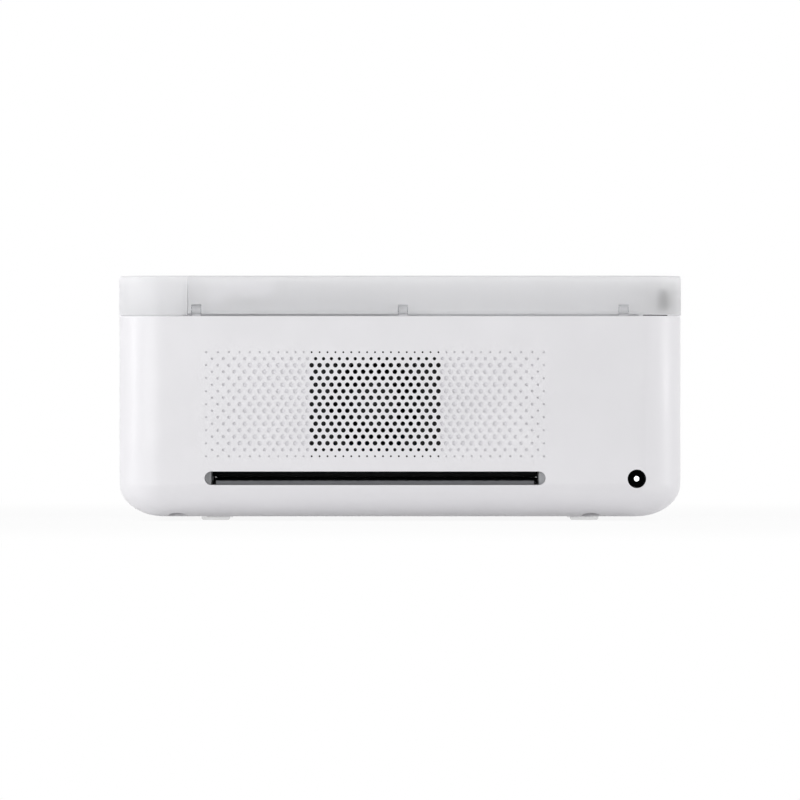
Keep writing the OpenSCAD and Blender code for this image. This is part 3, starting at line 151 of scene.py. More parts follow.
@dataclass(frozen=True)
class Finish:
    """A surface finish: plain shader values, and a pattern that a subclass adds."""

    name: str
    slot: str
    colour: str
    roughness: float = 0.5
    metallic: float = 0.0
    ior: float = 1.5
    transmission: float = 0.0
    opacity: float = 1.0

    def material(self) -> bpy.types.Material:
        """Build the material once and return it from then on."""
        made = bpy.data.materials.get(self.name)
        if made:
            return made
        made = bpy.data.materials.new(self.name)
        made.use_nodes = True
        made.diffuse_color = linear(self.colour)
        tree = made.node_tree
        tree.nodes.clear()
        shader = add_node(tree, "ShaderNodeBsdfPrincipled", {
            "Base Color": linear(self.colour),
            "Roughness": self.roughness,
            "Metallic": self.metallic,
            "Transmission Weight": self.transmission,
            "Alpha": self.opacity,
        })
        if self.metallic < 0.5:
            shader.inputs["IOR"].default_value = self.ior
        place = add_node(tree, "ShaderNodeTexCoord").outputs["Object"]
        for socket, value in self.pattern(tree, place).items():
            tree.links.new(value, shader.inputs[socket])
        add_node(tree, "ShaderNodeOutputMaterial", {"Surface": self.surface(tree, shader)})
        return made

    def surface(self, tree: Tree, shader: bpy.types.Node) -> Socket:
        """The finished shader: on most surfaces the plain one."""
        return shader.outputs["BSDF"]

    def pattern(self, tree: Tree, place: Socket) -> dict[str, Socket]:
        """Return the sockets that vary over the surface: none on a plain finish."""
        return {}

    def grain(self, tree: Tree, place: Socket, size: float, detail: float = 2.0,
              stretch: tuple[float, float, float] = (1.0, 1.0, 1.0)) -> Socket:
        """Noise whose features are size millimetres across.

        Args:
            tree: the node tree to add to.
            place: the coordinates to read.
            size: width of a feature, in millimetres.
            detail: how many finer octaves it holds.
            stretch: factor on each axis; a small one draws the pattern out along that axis.

        Returns:
            The noise value, from 0 to 1.
        """
        moved = add_node(tree, "ShaderNodeMapping", {"Vector": place, "Scale": stretch}).outputs["Vector"]
        feeds = {"Vector": moved, "Scale": 1 / (size * MM), "Detail": detail, "Roughness": 0.55}
        return add_node(tree, "ShaderNodeTexNoise", feeds).outputs[0]

    def spread(self, tree: Tree, value: Socket, low: float, high: float) -> Socket:
        """Map the middle of a noise value's range, where most of it lies, to the range from low to high."""
        feeds = {"Value": value, "From Min": 0.3, "From Max": 0.7, "To Min": low, "To Max": high}
        return add_node(tree, "ShaderNodeMapRange", feeds).outputs["Result"]

    def tint(self, tree: Tree, value: Socket, other: str) -> Socket:
        """Blend from the finish's own colour to another one, by a value from 0 to 1."""
        feeds = {0: value, 6: linear(self.colour), 7: linear(other)}
        return add_node(tree, "ShaderNodeMix", feeds, data_type="RGBA").outputs[2]

    def relief(self, tree: Tree, height: Socket, depth: float, strength: float) -> Socket:
        """Normals of a relief that is depth millimetres deep."""
        feeds = {"Height": height, "Distance": depth * MM, "Strength": strength}
        return add_node(tree, "ShaderNodeBump", feeds).outputs["Normal"]

    def bands(self, tree: Tree, place: Socket, pitch: float, waver: float = 0.0) -> Socket:
        """Even bands one above another.

        Args:
            tree: the node tree to add to.
            place: the coordinates to read.
            pitch: height of one band, in millimetres.
            waver: how far the bands stray from straight.

        Returns:
            The band's value, from 0 to 1 and back over each pitch.
        """
        feeds = {"Vector": place, "Scale": 2 * math.pi / (WAVE_RATE * pitch * MM), "Distortion": waver,
                 "Detail": 1.0, "Detail Scale": 2.0}
        return add_node(tree, "ShaderNodeTexWave", feeds, bands_direction="Z").outputs["Fac"]


@dataclass(frozen=True)
class MouldedPlastic(Finish):
    """ABS moulded in a spark-eroded steel tool, which leaves a fine matt grain and soft reflections."""

    grain_mm: float = 0.35
    depth_mm: float = 0.012
    flow: str = ""
    flow_mm: float = 18.0
    gloss_swing: float = 0.04

    def pattern(self, tree: Tree, place: Socket) -> dict[str, Socket]:
        """Fine grain in the normals, a slow change in the gloss, and faint flow marks in the colour."""
        fine = self.grain(tree, place, self.grain_mm)
        slow = self.grain(tree, place, self.flow_mm, 3.0)
        rough = self.spread(tree, slow, self.roughness - self.gloss_swing, self.roughness + self.gloss_swing)
        out = {"Roughness": rough, "Normal": self.relief(tree, fine, self.depth_mm, 0.35)}
        if self.flow:
            out["Base Color"] = self.tint(tree, self.spread(tree, slow, 0.0, 1.0), self.flow)
        return out


@dataclass(frozen=True)
class DiffusingPlastic(MouldedPlastic):
    """Clear plastic filled with a white pigment, which scatters the light that goes through it."""

    diffusion: float = 0.4

    def surface(self, tree: Tree, shader: bpy.types.Node) -> Socket:
        """The plain shader, with a share of light that comes through from behind and is spread evenly."""
        through = add_node(tree, "ShaderNodeBsdfTranslucent", {"Color": linear(self.colour)})
        feeds = {0: self.diffusion, 1: shader.outputs["BSDF"], 2: through.outputs["BSDF"]}
        return add_node(tree, "ShaderNodeMixShader", feeds).outputs["Shader"]


@dataclass(frozen=True)
class RibbedPlastic(Finish):
    """Glass-filled nylon with shallow ribs along X, as on a hinge bar that is stiff and light."""

    rib_mm: float = 1.1
    rib_depth: float = 0.15
    # Paler colour of the rib crests: a painted highlight.
    other: str = "b6b7bc"

    def pattern(self, tree: Tree, place: Socket) -> dict[str, Socket]:
        """Ribs one above another in the normals, with their crests painted paler in the colour, a painted
        highlight.
        """
        ribs = self.bands(tree, place, self.rib_mm)
        return {
            "Base Color": self.tint(tree, ribs, self.other),
            "Normal": self.relief(tree, ribs, self.rib_depth, 0.6),
        }


@dataclass(frozen=True)
class RolledMetal(Finish):
    """Sheet, bar or tube with the fine streaks that rolling, drawing or grinding leaves."""

    lay: Lay = Lay.ALONG_X
    streak_mm: float = 0.5
    streak_depth: float = 0.01
    cloud_mm: float = 9.0
    other: str = "9a9da1"

    def pattern(self, tree: Tree, place: Socket) -> dict[str, Socket]:
        """Streaks along the lay in the gloss and the normals, and a cloudy change of tone."""
        streak = self.grain(tree, place, self.streak_mm, 3.0, self.lay.value)
        cloud = self.grain(tree, place, self.cloud_mm, 4.0)
        return {
            "Base Color": self.tint(tree, self.spread(tree, cloud, 0.0, 0.8), self.other),
            "Roughness": self.spread(tree, streak, self.roughness - 0.08, self.roughness + 0.1),
            "Normal": self.relief(tree, streak, self.streak_depth, 0.25),
        }


@dataclass(frozen=True)
class GroundRubber(Finish):
    """Rubber ground to size, or felt: dull, with a fine crumbly tooth that grips paper."""

    tooth_mm: float = 0.3
    tooth_depth: float = 0.05
    patch_mm: float = 6.0
    dust: str = "3a3b3e"

    def pattern(self, tree: Tree, place: Socket) -> dict[str, Socket]:
        """A crumbly tooth in the normals and dusty patches in the colour."""
        tooth = self.grain(tree, place, self.tooth_mm, 4.0)
        patches = self.grain(tree, place, self.patch_mm, 4.0)
        return {
            "Base Color": self.tint(tree, self.spread(tree, patches, 0.0, 0.6), self.dust),
            "Normal": self.relief(tree, tooth, self.tooth_depth, 0.5),
        }


@dataclass(frozen=True)
class SolderMask(Finish):
    """Glass-fibre board under green solder mask, with copper tracks showing through as paler lines."""

    track: str = "2c7a4c"
    pad: str = "c9c4a4"
    bundle_mm: float = 9.0
    pad_pitch: float = 3.5
    pad_share: float = 0.16
    copper_mm: float = 0.03

    def pattern(self, tree: Tree, place: Socket) -> dict[str, Socket]:
        """Tracks in stepped bundles, round tinned pads, and a low relief over the copper."""
        feeds = {"Vector": place, "Scale": (1.0, 1.0, 0.0)}
        flat = add_node(tree, "ShaderNodeMapping", feeds).outputs["Vector"]
        feeds = {"Vector": flat, "Scale": 1 / (self.bundle_mm * MM), "Mortar Size": 0.03, "Brick Width": 0.9,
                 "Row Height": 0.18}
        tracks = add_node(tree, "ShaderNodeTexBrick", feeds).outputs["Fac"]
        feeds = {"Vector": flat, "Scale": 1 / (self.pad_pitch * MM), "Randomness": 0.7}
        apart = add_node(tree, "ShaderNodeTexVoronoi", feeds).outputs["Distance"]
        near = add_node(tree, "ShaderNodeMath", {0: apart, 1: self.pad_share}, operation="LESS_THAN")
        feeds = {0: near.outputs[0], 6: self.tint(tree, tracks, self.track), 7: linear(self.pad)}
        colour = add_node(tree, "ShaderNodeMix", feeds, data_type="RGBA").outputs[2]
        return {"Base Color": colour, "Normal": self.relief(tree, tracks, self.copper_mm, 0.6)}


@dataclass(frozen=True)
class SheetStack(Finish):
    """Coated photo paper: smooth faces, and edges with a darker line per sheet, painted shade in the gaps
    between sheets.
    """

    sheet_mm: float = 0.26
    gap_depth: float = 0.04
    # Colour of the gaps between sheets: painted shade.
    gap_shade: str = "cfcfca"

    def pattern(self, tree: Tree, place: Socket) -> dict[str, Socket]:
        """Bands across the height, one per sheet, in the normals, and painted shade in the colour where the
        sheets part.
        """
        sheets = self.bands(tree, place, self.sheet_mm, waver=0.6)
        return {
            "Base Color": self.tint(tree, sheets, self.gap_shade),
            "Normal": self.relief(tree, sheets, self.gap_depth, 0.5),
        }


@dataclass(frozen=True)
class DyeFilm(Finish):
    """Thin polyester film that carries the dyes, in bands that follow one another."""

    band_mm: float = 30.0
    second: str = "59264f"
    third: str = "1d4558"
    line_mm: float = 1.2
    line_depth: float = 0.02

    def pattern(self, tree: Tree, place: Socket) -> dict[str, Socket]:
        """Bands of dark dye along the film and a faint web of tension lines."""
        along = add_node(tree, "ShaderNodeSeparateXYZ", {"Vector": place}).outputs["Y"]
        turn = add_node(tree, "ShaderNodeMath", {0: along, 1: 1 / (self.band_mm * MM)}, operation="MULTIPLY")
        part = add_node(tree, "ShaderNodeMath", {0: turn.outputs[0], 1: 1.0}, operation="FLOORED_MODULO")
        ramp = add_node(tree, "ShaderNodeValToRGB", {"Fac": part.outputs[0]})
        ramp.color_ramp.interpolation = "CONSTANT"
        for at, colour in ((0.0, self.colour), (0.34, self.second), (0.67, self.third)):
            stop = ramp.color_ramp.elements[0] if at == 0.0 else ramp.color_ramp.elements.new(at)
            stop.position, stop.color = at, linear(colour)
        lines = self.grain(tree, place, self.line_mm, 2.0, Lay.ALONG_Y.value)
        return {"Base Color": ramp.outputs["Color"], "Normal": self.relief(tree, lines, self.line_depth, 0.3)}


class Finishes:
    """Every finish on the printer."""

    # White ABS: bright, cool and satin, as on most household machines.
    white_shell = MouldedPlastic("white_abs", "white_shell", "edecef", 0.36, flow="ebeaed")
    # Polycarbonate with a diffusing pigment and a satin skin: darker parts behind it show through faintly.
    frosted_shell = DiffusingPlastic("frosted_polycarbonate", "frosted_shell", "f9f9fa", 0.4, ior=1.58,
                                     opacity=0.72, diffusion=0.45)
    # The hinge knuckles on the deck look much like the lid, but a little clearer.
    knuckle = replace(frosted_shell, name="frosted_knuckle", slot="white_shell", opacity=0.55, diffusion=0.5)
    # Grey wool felt along the mouth of the paper slot; its mid grey is painted shade, where the slot's floor
    # lies in shadow.
    shade_felt = GroundRubber("grey_felt_painted_shade", "rubber", "77787b", 0.95, tooth_mm=0.5, dust="6c6d70")
    # Ribbed grey nylon of the hinge bar, with a rib every 1.1 millimetres and a painted highlight that makes
    # the crests paler.
    ribbed_nylon = RibbedPlastic("ribbed_nylon", "dark_plastic", "a0a1a6", 0.5)
    # Glass-filled nylon: dark grey, dull.
    dark_plastic = MouldedPlastic("dark_nylon", "dark_plastic", "36373a", 0.55, grain_mm=0.5, depth_mm=0.02)
    # Black ABS of the fan and its duct.
    black_plastic = MouldedPlastic("black_abs", "black_plastic", "17171a", 0.45)
    # Matt black polyamide of the power inlet, made blacker and less reflective than real plastic: painted
    # shade for the dark inside of its bore.
    inlet_black_painted_shade = MouldedPlastic("matt_polyamide_painted_shade", "black_plastic", "060607", 0.7, ior=1.2)
    # Pale grey polystyrene of the paper cassette: a little glossier than the shell.
    pale_plastic = MouldedPlastic("pale_polystyrene", "pale_plastic", "d6d7d9", 0.32, flow="d2d3d6")
    # Acetal: creamy white and slippery, so its highlights are broad and soft.
    gear_plastic = MouldedPlastic("natural_acetal", "gear_plastic", "e6e1d2", 0.28, grain_mm=0.6,
                                  depth_mm=0.006)
    # Zinc-plated steel sheet, rolled along the printer's depth.
    steel = RolledMetal("zinc_plated_sheet", "steel", "b4b7bb", 0.34, metallic=1.0, lay=Lay.ALONG_Y)
    # Ground steel of shafts, pins and screws.
    shaft_steel = RolledMetal("ground_steel", "shaft_steel", "c3c5c8", 0.2, metallic=1.0, streak_mm=0.3)
    # Extruded aluminium of the heat sink, with die lines along its length.
    aluminium = RolledMetal("extruded_aluminium", "aluminium", "bcbfc3", 0.4, metallic=1.0, streak_mm=0.8)
    # Turned brass of the motor pinions.
    brass = RolledMetal("turned_brass", "brass", "c9a861", 0.25, metallic=1.0, lay=Lay.NONE, other="b8954c")
    # Black nitrile rubber of the rollers.
    rubber = GroundRubber("ground_nitrile", "rubber", "222326", 0.75)
    # Clear silicone rubber of the feet, with a dull skin.
    foot_rubber = GroundRubber("clear_silicone", "rubber", "f4f4f6", 0.6, opacity=0.2, dust="ececf0")
    # Green solder mask over the copper of the boards.
    circuit_board = SolderMask("solder_mask", "circuit_board", "1d5a38", 0.3)
    # Coated photo paper, a little warm beside the cool white shell.
    paper = SheetStack("coated_paper", "paper", "f3f3f1", 0.4)
    # Glossy dye film, olive in its first band.
    film = DyeFilm("dye_film", "film", "4b4420", 0.22)
    # Wound film on a spool: near black, with the edges of the turns as fine rings.
    wound_film = RolledMetal("wound_film", "film", "26222c", 0.3, lay=Lay.ALONG_Y, other="2f2a37")
    # Clear polycarbonate of the status light.
    lens = MouldedPlastic("clear_polycarbonate", "lens", "cfe0ee", 0.15, transmission=0.7)
    # Black phenolic bodies of chips and sockets.
    chip_black = MouldedPlastic("moulded_phenolic", "circuit_board", "1b1b1d", 0.5, grain_mm=0.4,
                                depth_mm=0.02)
    # Bright tin plating of contacts.
    contact = RolledMetal("tinned_contact", "shaft_steel", "dddee0", 0.18, metallic=1.0, lay=Lay.ALONG_Y,
                          streak_mm=0.3)


# ---------------------------------------------------------------- mesh helpers


def new_object(name: str, mesh: bpy.types.Mesh) -> Piece:
    """Link a new object, at the origin and unturned, that shows the mesh."""
    made = bpy.data.objects.new(name, mesh)
    bpy.context.scene.collection.objects.link(made)
    return made


def paint(piece: Piece, finish: Finish) -> None:
    """Give the whole piece one finish."""
    piece.data.materials.clear()
    piece.data.materials.append(finish.material())


def grid_mesh(name: str, points: np.ndarray, wrap: bool = False) -> bpy.types.Mesh:
    """Join a grid of points into quads.

    The points are a function of two parameters, u down the rows and v along the columns, worked out as one
    array. Each quad joins the points (u, v), (u + 1, v), (u + 1, v + 1) and (u, v + 1).

    Args:
        name: the mesh's name.
        points: rows by columns by 3, in millimetres.
        wrap: the last column joins the first.

    Returns:
        The mesh, in metres.
    """
    rows, cols = points.shape[:2]
    index = np.arange(rows * cols).reshape(rows, cols)
    if wrap:
        index = np.hstack([index, index[:, :1]])
    corners = [index[:-1, :-1], index[1:, :-1], index[1:, 1:], index[:-1, 1:]]
    quads = np.stack(corners, axis=-1).reshape(-1, 4)
    mesh = bpy.data.meshes.new(name)
    mesh.from_pydata((points.reshape(-1, 3) * MM).tolist(), [], quads.tolist())
    mesh.update()
    return mesh


def shade_round(work: bmesh.types.BMesh) -> None:
    """Shade round surfaces smooth, and keep an edge sharp where it is open or turns too far."""
    for face in work.faces:
        face.smooth = True
    for edge in work.edges:
        edge.smooth = len(edge.link_faces) == 2 and edge.calc_face_angle(0.0) < math.radians(SHARP_DEG)


def close_and_smooth(mesh: bpy.types.Mesh) -> None:
    """Merge doubles, fill open ends, point the faces outwards and shade round surfaces smooth."""
    work = bmesh.new()
    work.from_mesh(mesh)
    bmesh.ops.remove_doubles(work, verts=work.verts, dist=0.001 * MM)
    bmesh.ops.holes_fill(work, edges=work.edges, sides=0)
    bmesh.ops.recalc_face_normals(work, faces=work.faces)
    shade_round(work)
    work.to_mesh(mesh)
    work.free()


def weigh_normals(piece: Piece) -> None:
    """Let the large faces decide the normals, so that flat walls stay flat beside round edges."""
    weigh = piece.modifiers.new("even_normals", "WEIGHTED_NORMAL")
    weigh.mode = "FACE_AREA"
    weigh.weight = 90
    weigh.keep_sharp = True


def break_edges(piece: Piece, width: float, by_weight: bool = False) -> None:
    """Round the piece's sharp edges a little, as moulding and deburring do.

    Args:
        piece: the object to finish.
        width: the rounding's width, in millimetres.
        by_weight: only edges that carry a bevel weight are rounded.
    """
    bevel = piece.modifiers.new("broken_edges", "BEVEL")
    bevel.width = width * MM
    bevel.segments = 2
    bevel.limit_method = "WEIGHT" if by_weight else "ANGLE"
    bevel.angle_limit = math.radians(40)
    bevel.use_clamp_overlap = True
    bevel.harden_normals = False


def slab(name: str, outline: np.ndarray, low: float, high: float) -> Piece:
    """Carry a closed outline in X and Z across the thickness from low to high along Y.

    Args:
        name: the piece's name.
        outline: corners in order, count by 2, in millimetres.
        low: where the thickness starts.
        high: where it ends.

    Returns:
        A closed piece with flat faces.
    """
    x, z = outline.T
    rows = [np.column_stack([x, np.full_like(x, y), z]) for y in (low, high)]
    mesh = grid_mesh(name, np.stack(rows), wrap=True)
    close_and_smooth(mesh)
    return new_object(name, mesh)


def turned(name: str, radius: np.ndarray, height: np.ndarray, at: tuple[float, float]) -> Piece:
    """Turn a profile about an upright axis: x = r cos(a), y = r sin(a) for each radius r and angle a.

    Args:
        name: the piece's name.
        radius: the profile's radii, in millimetres.
        height: the heights that belong to them.
        at: where the axis stands, in X and Y.

    Returns:
        A closed round piece.
    """
    angle = np.linspace(0, 2 * np.pi, 32, endpoint=False)
    x = at[0] + radius[:, None] * np.cos(angle)
    y = at[1] + radius[:, None] * np.sin(angle)
    points = np.stack([x, y, np.broadcast_to(height[:, None], x.shape)], axis=-1)
    mesh = grid_mesh(name, points, wrap=True)
    close_and_smooth(mesh)
    return new_object(name, mesh)


def finish_piece(piece: Piece, finish: Finish, body: str, edge_mm: float = 0.0) -> Piece:
    """Dress a new piece and let it ride on a body.

    Args:
        piece: the piece, as it was modelled.
        finish: its surface.
        body: the body that carries it.
        edge_mm: width to which its sharp edges are rounded, or nought to leave them.

    Returns:
        The same piece.
    """
    paint(piece, finish)
    if edge_mm:
        break_edges(piece, edge_mm)
    weigh_normals(piece)
    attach(piece, body)
    return piece


@dataclass
class Region:
    """Part of a piece that has another finish than the rest."""

    finish: Finish
    holds: Mask


@dataclass
class Skin:
    """A smoothed copy of a CAD node, which stands for it in the render.

    The copy's loose triangles are merged, flat areas are joined unless dissolve is off, and round surfaces
    are shaded smooth. Where there is an edge rule, only the sharp edges that it picks are rounded.
    """

    node: str
    finish: Finish
    edge_mm: float = 0.0
    edge_rule: Mask | None = None
    regions: list[Region] = field(default_factory=list)
    dissolve: bool = True

    def build(self) -> Piece:
        """Make the copy, dress it, and put it in its node's place on its node's body."""
        source = frame["nodes"][self.node]
        mesh = source.data.copy()
        mesh.name = f"{self.node}_skin"
        self.merge(mesh)
        piece = new_object(f"{self.node}_skin", mesh)
        paint(piece, self.finish)
        if self.regions:
            self.dress_regions(mesh)
        if self.edge_mm:
            break_edges(piece, self.edge_mm, self.edge_rule is not None)
        weigh_normals(piece)
        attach(piece, source["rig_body"])
        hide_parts(self.node)
        return piece

    def merge(self, mesh: bpy.types.Mesh) -> None:
        """Merge the triangles, join coplanar ones, and mark sharp and broken edges."""
        work = bmesh.new()
        work.from_mesh(mesh)
        bmesh.ops.remove_doubles(work, verts=work.verts, dist=0.002 * MM)
        if self.dissolve:
            flat = math.radians(0.5)
            bmesh.ops.dissolve_limit(work, angle_limit=flat, verts=work.verts, edges=work.edges)
        shade_round(work)
        if self.edge_rule is not None:
            weight = work.edges.layers.float.new("bevel_weight_edge")
            middle = np.array([(e.verts[0].co + e.verts[1].co) / 2 for e in work.edges]) / MM
            chosen = self.edge_rule(middle)
            for edge, wanted in zip(work.edges, chosen):
                edge[weight] = 1.0 if wanted and not edge.smooth else 0.0
        work.to_mesh(mesh)
        work.free()

    def dress_regions(self, mesh: bpy.types.Mesh) -> None:
        """Give each region's faces their own finish, by where their centres lie."""
        count = len(mesh.polygons)
        centre = np.empty(count * 3)
        mesh.polygons.foreach_get("center", centre)
        centre = centre.reshape(-1, 3) / MM
        index = np.zeros(count, dtype=np.int32)
        for number, region in enumerate(self.regions, start=1):
            mesh.materials.append(region.finish.material())
            index[region.holds(centre)] = number
        mesh.polygons.foreach_set("material_index", index)
        mesh.update()


def box_mm(node: str) -> tuple[Vector, Vector]:
    """Lowest and highest corner of a CAD node, in millimetres."""
    low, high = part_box(node)
    return low / MM, high / MM


class SubAssembly:
    """A group of pieces with one task: plain CAD nodes with a finish, and skins over others."""

    plain: dict[str, Finish] = {}

    def skins(self) -> list[Skin]:
        """Skins of this sub-assembly; a subclass lists its own."""
        return []

    def extras(self) -> list[Piece]:
        """Pieces modelled here alone; a subclass lists its own."""
        return []

    def build(self) -> None:
        """Dress the plain nodes, make the skins and the extra pieces, and report each."""
        for node, finish in self.plain.items():
            paint(frame["nodes"][node], finish)
        made = [skin.build() for skin in self.skins()] + self.extras()
        names = [*self.plain, *(piece.name for piece in made)]
        log.info("%s: %s", type(self).__name__, ", ".join(names))


# ---------------------------------------------------------------- the printer


@dataclass
class Tub(SubAssembly):
    """White moulded tub with its vent, feet, screws and the two doors."""

    rim_mm: float = 0.35
    rim_depth: float = 0.05
    door_edge_mm: float = 0.25
    plain = {
        "casing_screws": Finishes.shaft_steel,
        "front_door_pin": Finishes.shaft_steel,
        "ribbon_door_pin": Finishes.shaft_steel,
    }

    def rim(self, middle: np.ndarray) -> np.ndarray:
        """True for edges on the tub's upper rim, given their middles in millimetres."""
        top = box_mm("main_casing")[1].z
        return middle[:, 2] > top - self.rim_depth

    def skins(self) -> list[Skin]:
        """The tub, its feet and its doors."""
        return [
            Skin("main_casing", Finishes.white_shell, self.rim_mm, edge_rule=self.rim, dissolve=False),
            Skin("rubber_feet", Finishes.foot_rubber),
            Skin("front_door", Finishes.white_shell, self.door_edge_mm),
            Skin("ribbon_door", Finishes.white_shell, self.door_edge_mm),
        ]


@dataclass
class Cover(SubAssembly):
    """Frosted lid, the fixed end cap beside it, the hinge, the damper and the button."""

    edge_mm: float = 0.25
    pad_x: tuple[float, float] = (43.9, 66.7)
    pad_y: tuple[float, float] = (58.6, 59.6)
    pad_z: tuple[float, float] = (74.9, 82.3)
    pad_leg: float = 60.2
    pad_step: float = 77.0
    pad_slope: tuple[float, float] = (6.4, 0.4)
    pad_edge: float = 0.3
    core_r: float = 2.7
    core_at: tuple[float, float] = (-89.8, 55.6)
    core_z: tuple[float, float] = (72.3, 79.8)
    core_dome: float = 0.35
    # Size and place of a dark ball that is painted shade at the foot of the gap between lid and end cap.
    gap_shade_r: float = 0.55
    gap_shade_at: tuple[float, float, float] = (74.0, 59.2, 71.7)
    plain = {
        "lid_hinge_pins": Finishes.shaft_steel,
        "catch_magnets": Finishes.shaft_steel,
        "lid_catch_plates": Finishes.steel,
        "power_switch": Finishes.circuit_board,
        "status_light": Finishes.lens,
    }

    def skins(self) -> list[Skin]:
        """The lid, the end cap and what shows through them."""
        return [
            Skin("lid", Finishes.frosted_shell, self.edge_mm),
            Skin("end_cap", Finishes.frosted_shell, self.edge_mm),
            Skin("lid_hinge_bar", Finishes.ribbed_nylon, 0.2),
            Skin("lid_hinge_damper", Finishes.black_plastic, 0.3),
            Skin("power_button", Finishes.pale_plastic, 0.2),
        ]

    def pad(self) -> Piece:
        """White pad behind the lid's rear wall: a plate with a leg at one end and a notch beside it.

        The outline runs round the plate, up a short slope and down the leg, and it is carried across the
        pad's thickness. The edge finish rounds its corners.
        """
        (x0, x1), (y0, y1), (z0, z1) = self.pad_x, self.pad_y, self.pad_z
        leg, step = self.pad_leg, self.pad_step
        run, rise = self.pad_slope
        outline = np.array([[x0, z1], [x0, step], [leg - run, step], [leg, step + rise], [leg, z0], [x1, z0],
                            [x1, z1]])
        piece = slab("lid_pad", outline, y0, y1)
        return finish_piece(piece, Finishes.white_shell, "lid", self.pad_edge)

    def core(self) -> Piece:
        """Barrel of the damper: a round body with domed ends, turned about an upright axis.

        The height follows sin(t) and the radius follows cos(t) to the power of core_dome, for t from -90 to
        90 degrees.
        """
        t = np.radians(np.linspace(-90, 90, 25))
        low, high = self.core_z
        z = (low + high) / 2 + (high - low) / 2 * np.sin(t)
        radius = self.core_r * np.maximum(np.cos(t), 0.0) ** self.core_dome
        piece = turned("damper_barrel", radius, z, self.core_at)
        return finish_piece(piece, Finishes.black_plastic, "chassis")

    def stop(self) -> Piece:
        """Small dark ball in the gap where the lid meets the end cap, painted shade at the foot of that gap:
        a ball, turned about an upright axis.

        The height follows sin(t) and the radius follows cos(t), for t from -90 to 90 degrees.
        """
        x, y, z = self.gap_shade_at
        t = np.radians(np.linspace(-90, 90, 13))
        # A black ball as painted shade at the bottom of the parting gap.
        piece = turned("gap_shade_ball", self.gap_shade_r * np.cos(t), z + self.gap_shade_r * np.sin(t), (x, y))
        return finish_piece(piece, Finishes.black_plastic, "chassis")

    def extras(self) -> list[Piece]:
        """What shows through the frosted wall beside the CAD pieces, and a dark ball of painted shade in the
        gap beside the lid.
        """
        return [self.pad(), self.core(), self.stop()]


@dataclass
class Store(SubAssembly):
    """Top deck and the paper cassette that is stored in its well."""

    edge_mm: float = 0.25
    knuckle_y: float = 57.5
    knuckle_z: float = 70.75

    def on_knuckles(self, centre: np.ndarray) -> np.ndarray:
        """True on the hinge knuckles along the deck's rear edge."""
        return (centre[:, 1] > self.knuckle_y) & (centre[:, 2] > self.knuckle_z)

    def skins(self) -> list[Skin]:
        """The deck, the cassette and what it holds."""
        return [
            Skin("top_deck", Finishes.white_shell, self.edge_mm,
                 regions=[Region(Finishes.knuckle, self.on_knuckles)]),
            Skin("paper_cassette", Finishes.pale_plastic, self.edge_mm),
            Skin("cassette_cover", Finishes.pale_plastic, self.edge_mm),
            Skin("paper_lift_plate", Finishes.steel, 0.1),
            Skin("paper_stack", Finishes.paper),
        ]


@dataclass
class Chassis(SubAssembly):
    """Sheet-metal frame of the mechanism and the guide behind the rear slot."""

    # The grey felt strip set here is painted shade: it fills the band where the slot's floor lies in shadow.
    shade_felt_x: tuple[float, float] = (-46.2, 63.4)
    shade_felt_y: tuple[float, float] = (57.4, 59.0)
    shade_felt_z: tuple[float, float] = (12.5, 13.9)
    shade_felt_crown: float = 0.4
    shade_felt_wave: float = 0.05
    shade_felt_turns: tuple[float, float] = (2.3, 0.71)
    plain = {"chassis_screws": Finishes.shaft_steel}

    def skins(self) -> list[Skin]:
        """The plates, the bed, the brace and the rear guide."""
        sheets = ("chassis_left", "chassis_right", "cassette_bed", "front_brace")
        return [*(Skin(node, Finishes.steel, 0.15) for node in sheets),
                Skin("rear_paper_guide", Finishes.pale_plastic, 0.15)]

    def extras(self) -> list[Piece]:
        """A grey felt lip along the mouth of the paper guide, painted shade for the slot's shadowed floor: a
        flat strip with a rounded top.

        Its section is a rectangle whose upper side is half an ellipse, shade_felt_crown high. It is carried
        along
        X, and everything above its base rises and falls by shade_felt_wave times the product of two sines of
        X.
        """
        (x0, x1), (y0, y1), (z0, z1) = self.shade_felt_x, self.shade_felt_y, self.shade_felt_z
        t = np.radians(np.linspace(0, 180, 13))
        y = np.concatenate([[y1], (y0 + y1) / 2 + (y1 - y0) / 2 * np.cos(t), [y0]])
        z = np.concatenate([[z0], z1 - self.shade_felt_crown + self.shade_felt_crown * np.sin(t), [z0]])
        x = np.linspace(x0, x1, 111)
        wave = self.shade_felt_wave * np.sin(x * self.shade_felt_turns[0]) * np.sin(x * self.shade_felt_turns[1])
        lifted = z[None, :] + wave[:, None] * (z > z0)
        points = np.stack(np.broadcast_arrays(x[:, None], y[None, :], lifted), axis=-1)
        # Grey felt strip that stands as painted shade on the slot's floor.
        mesh = grid_mesh("felt_painted_shade", points, wrap=True)
        close_and_smooth(mesh)
        return [finish_piece(new_object("felt_painted_shade", mesh), Finishes.shade_felt, "chassis")]


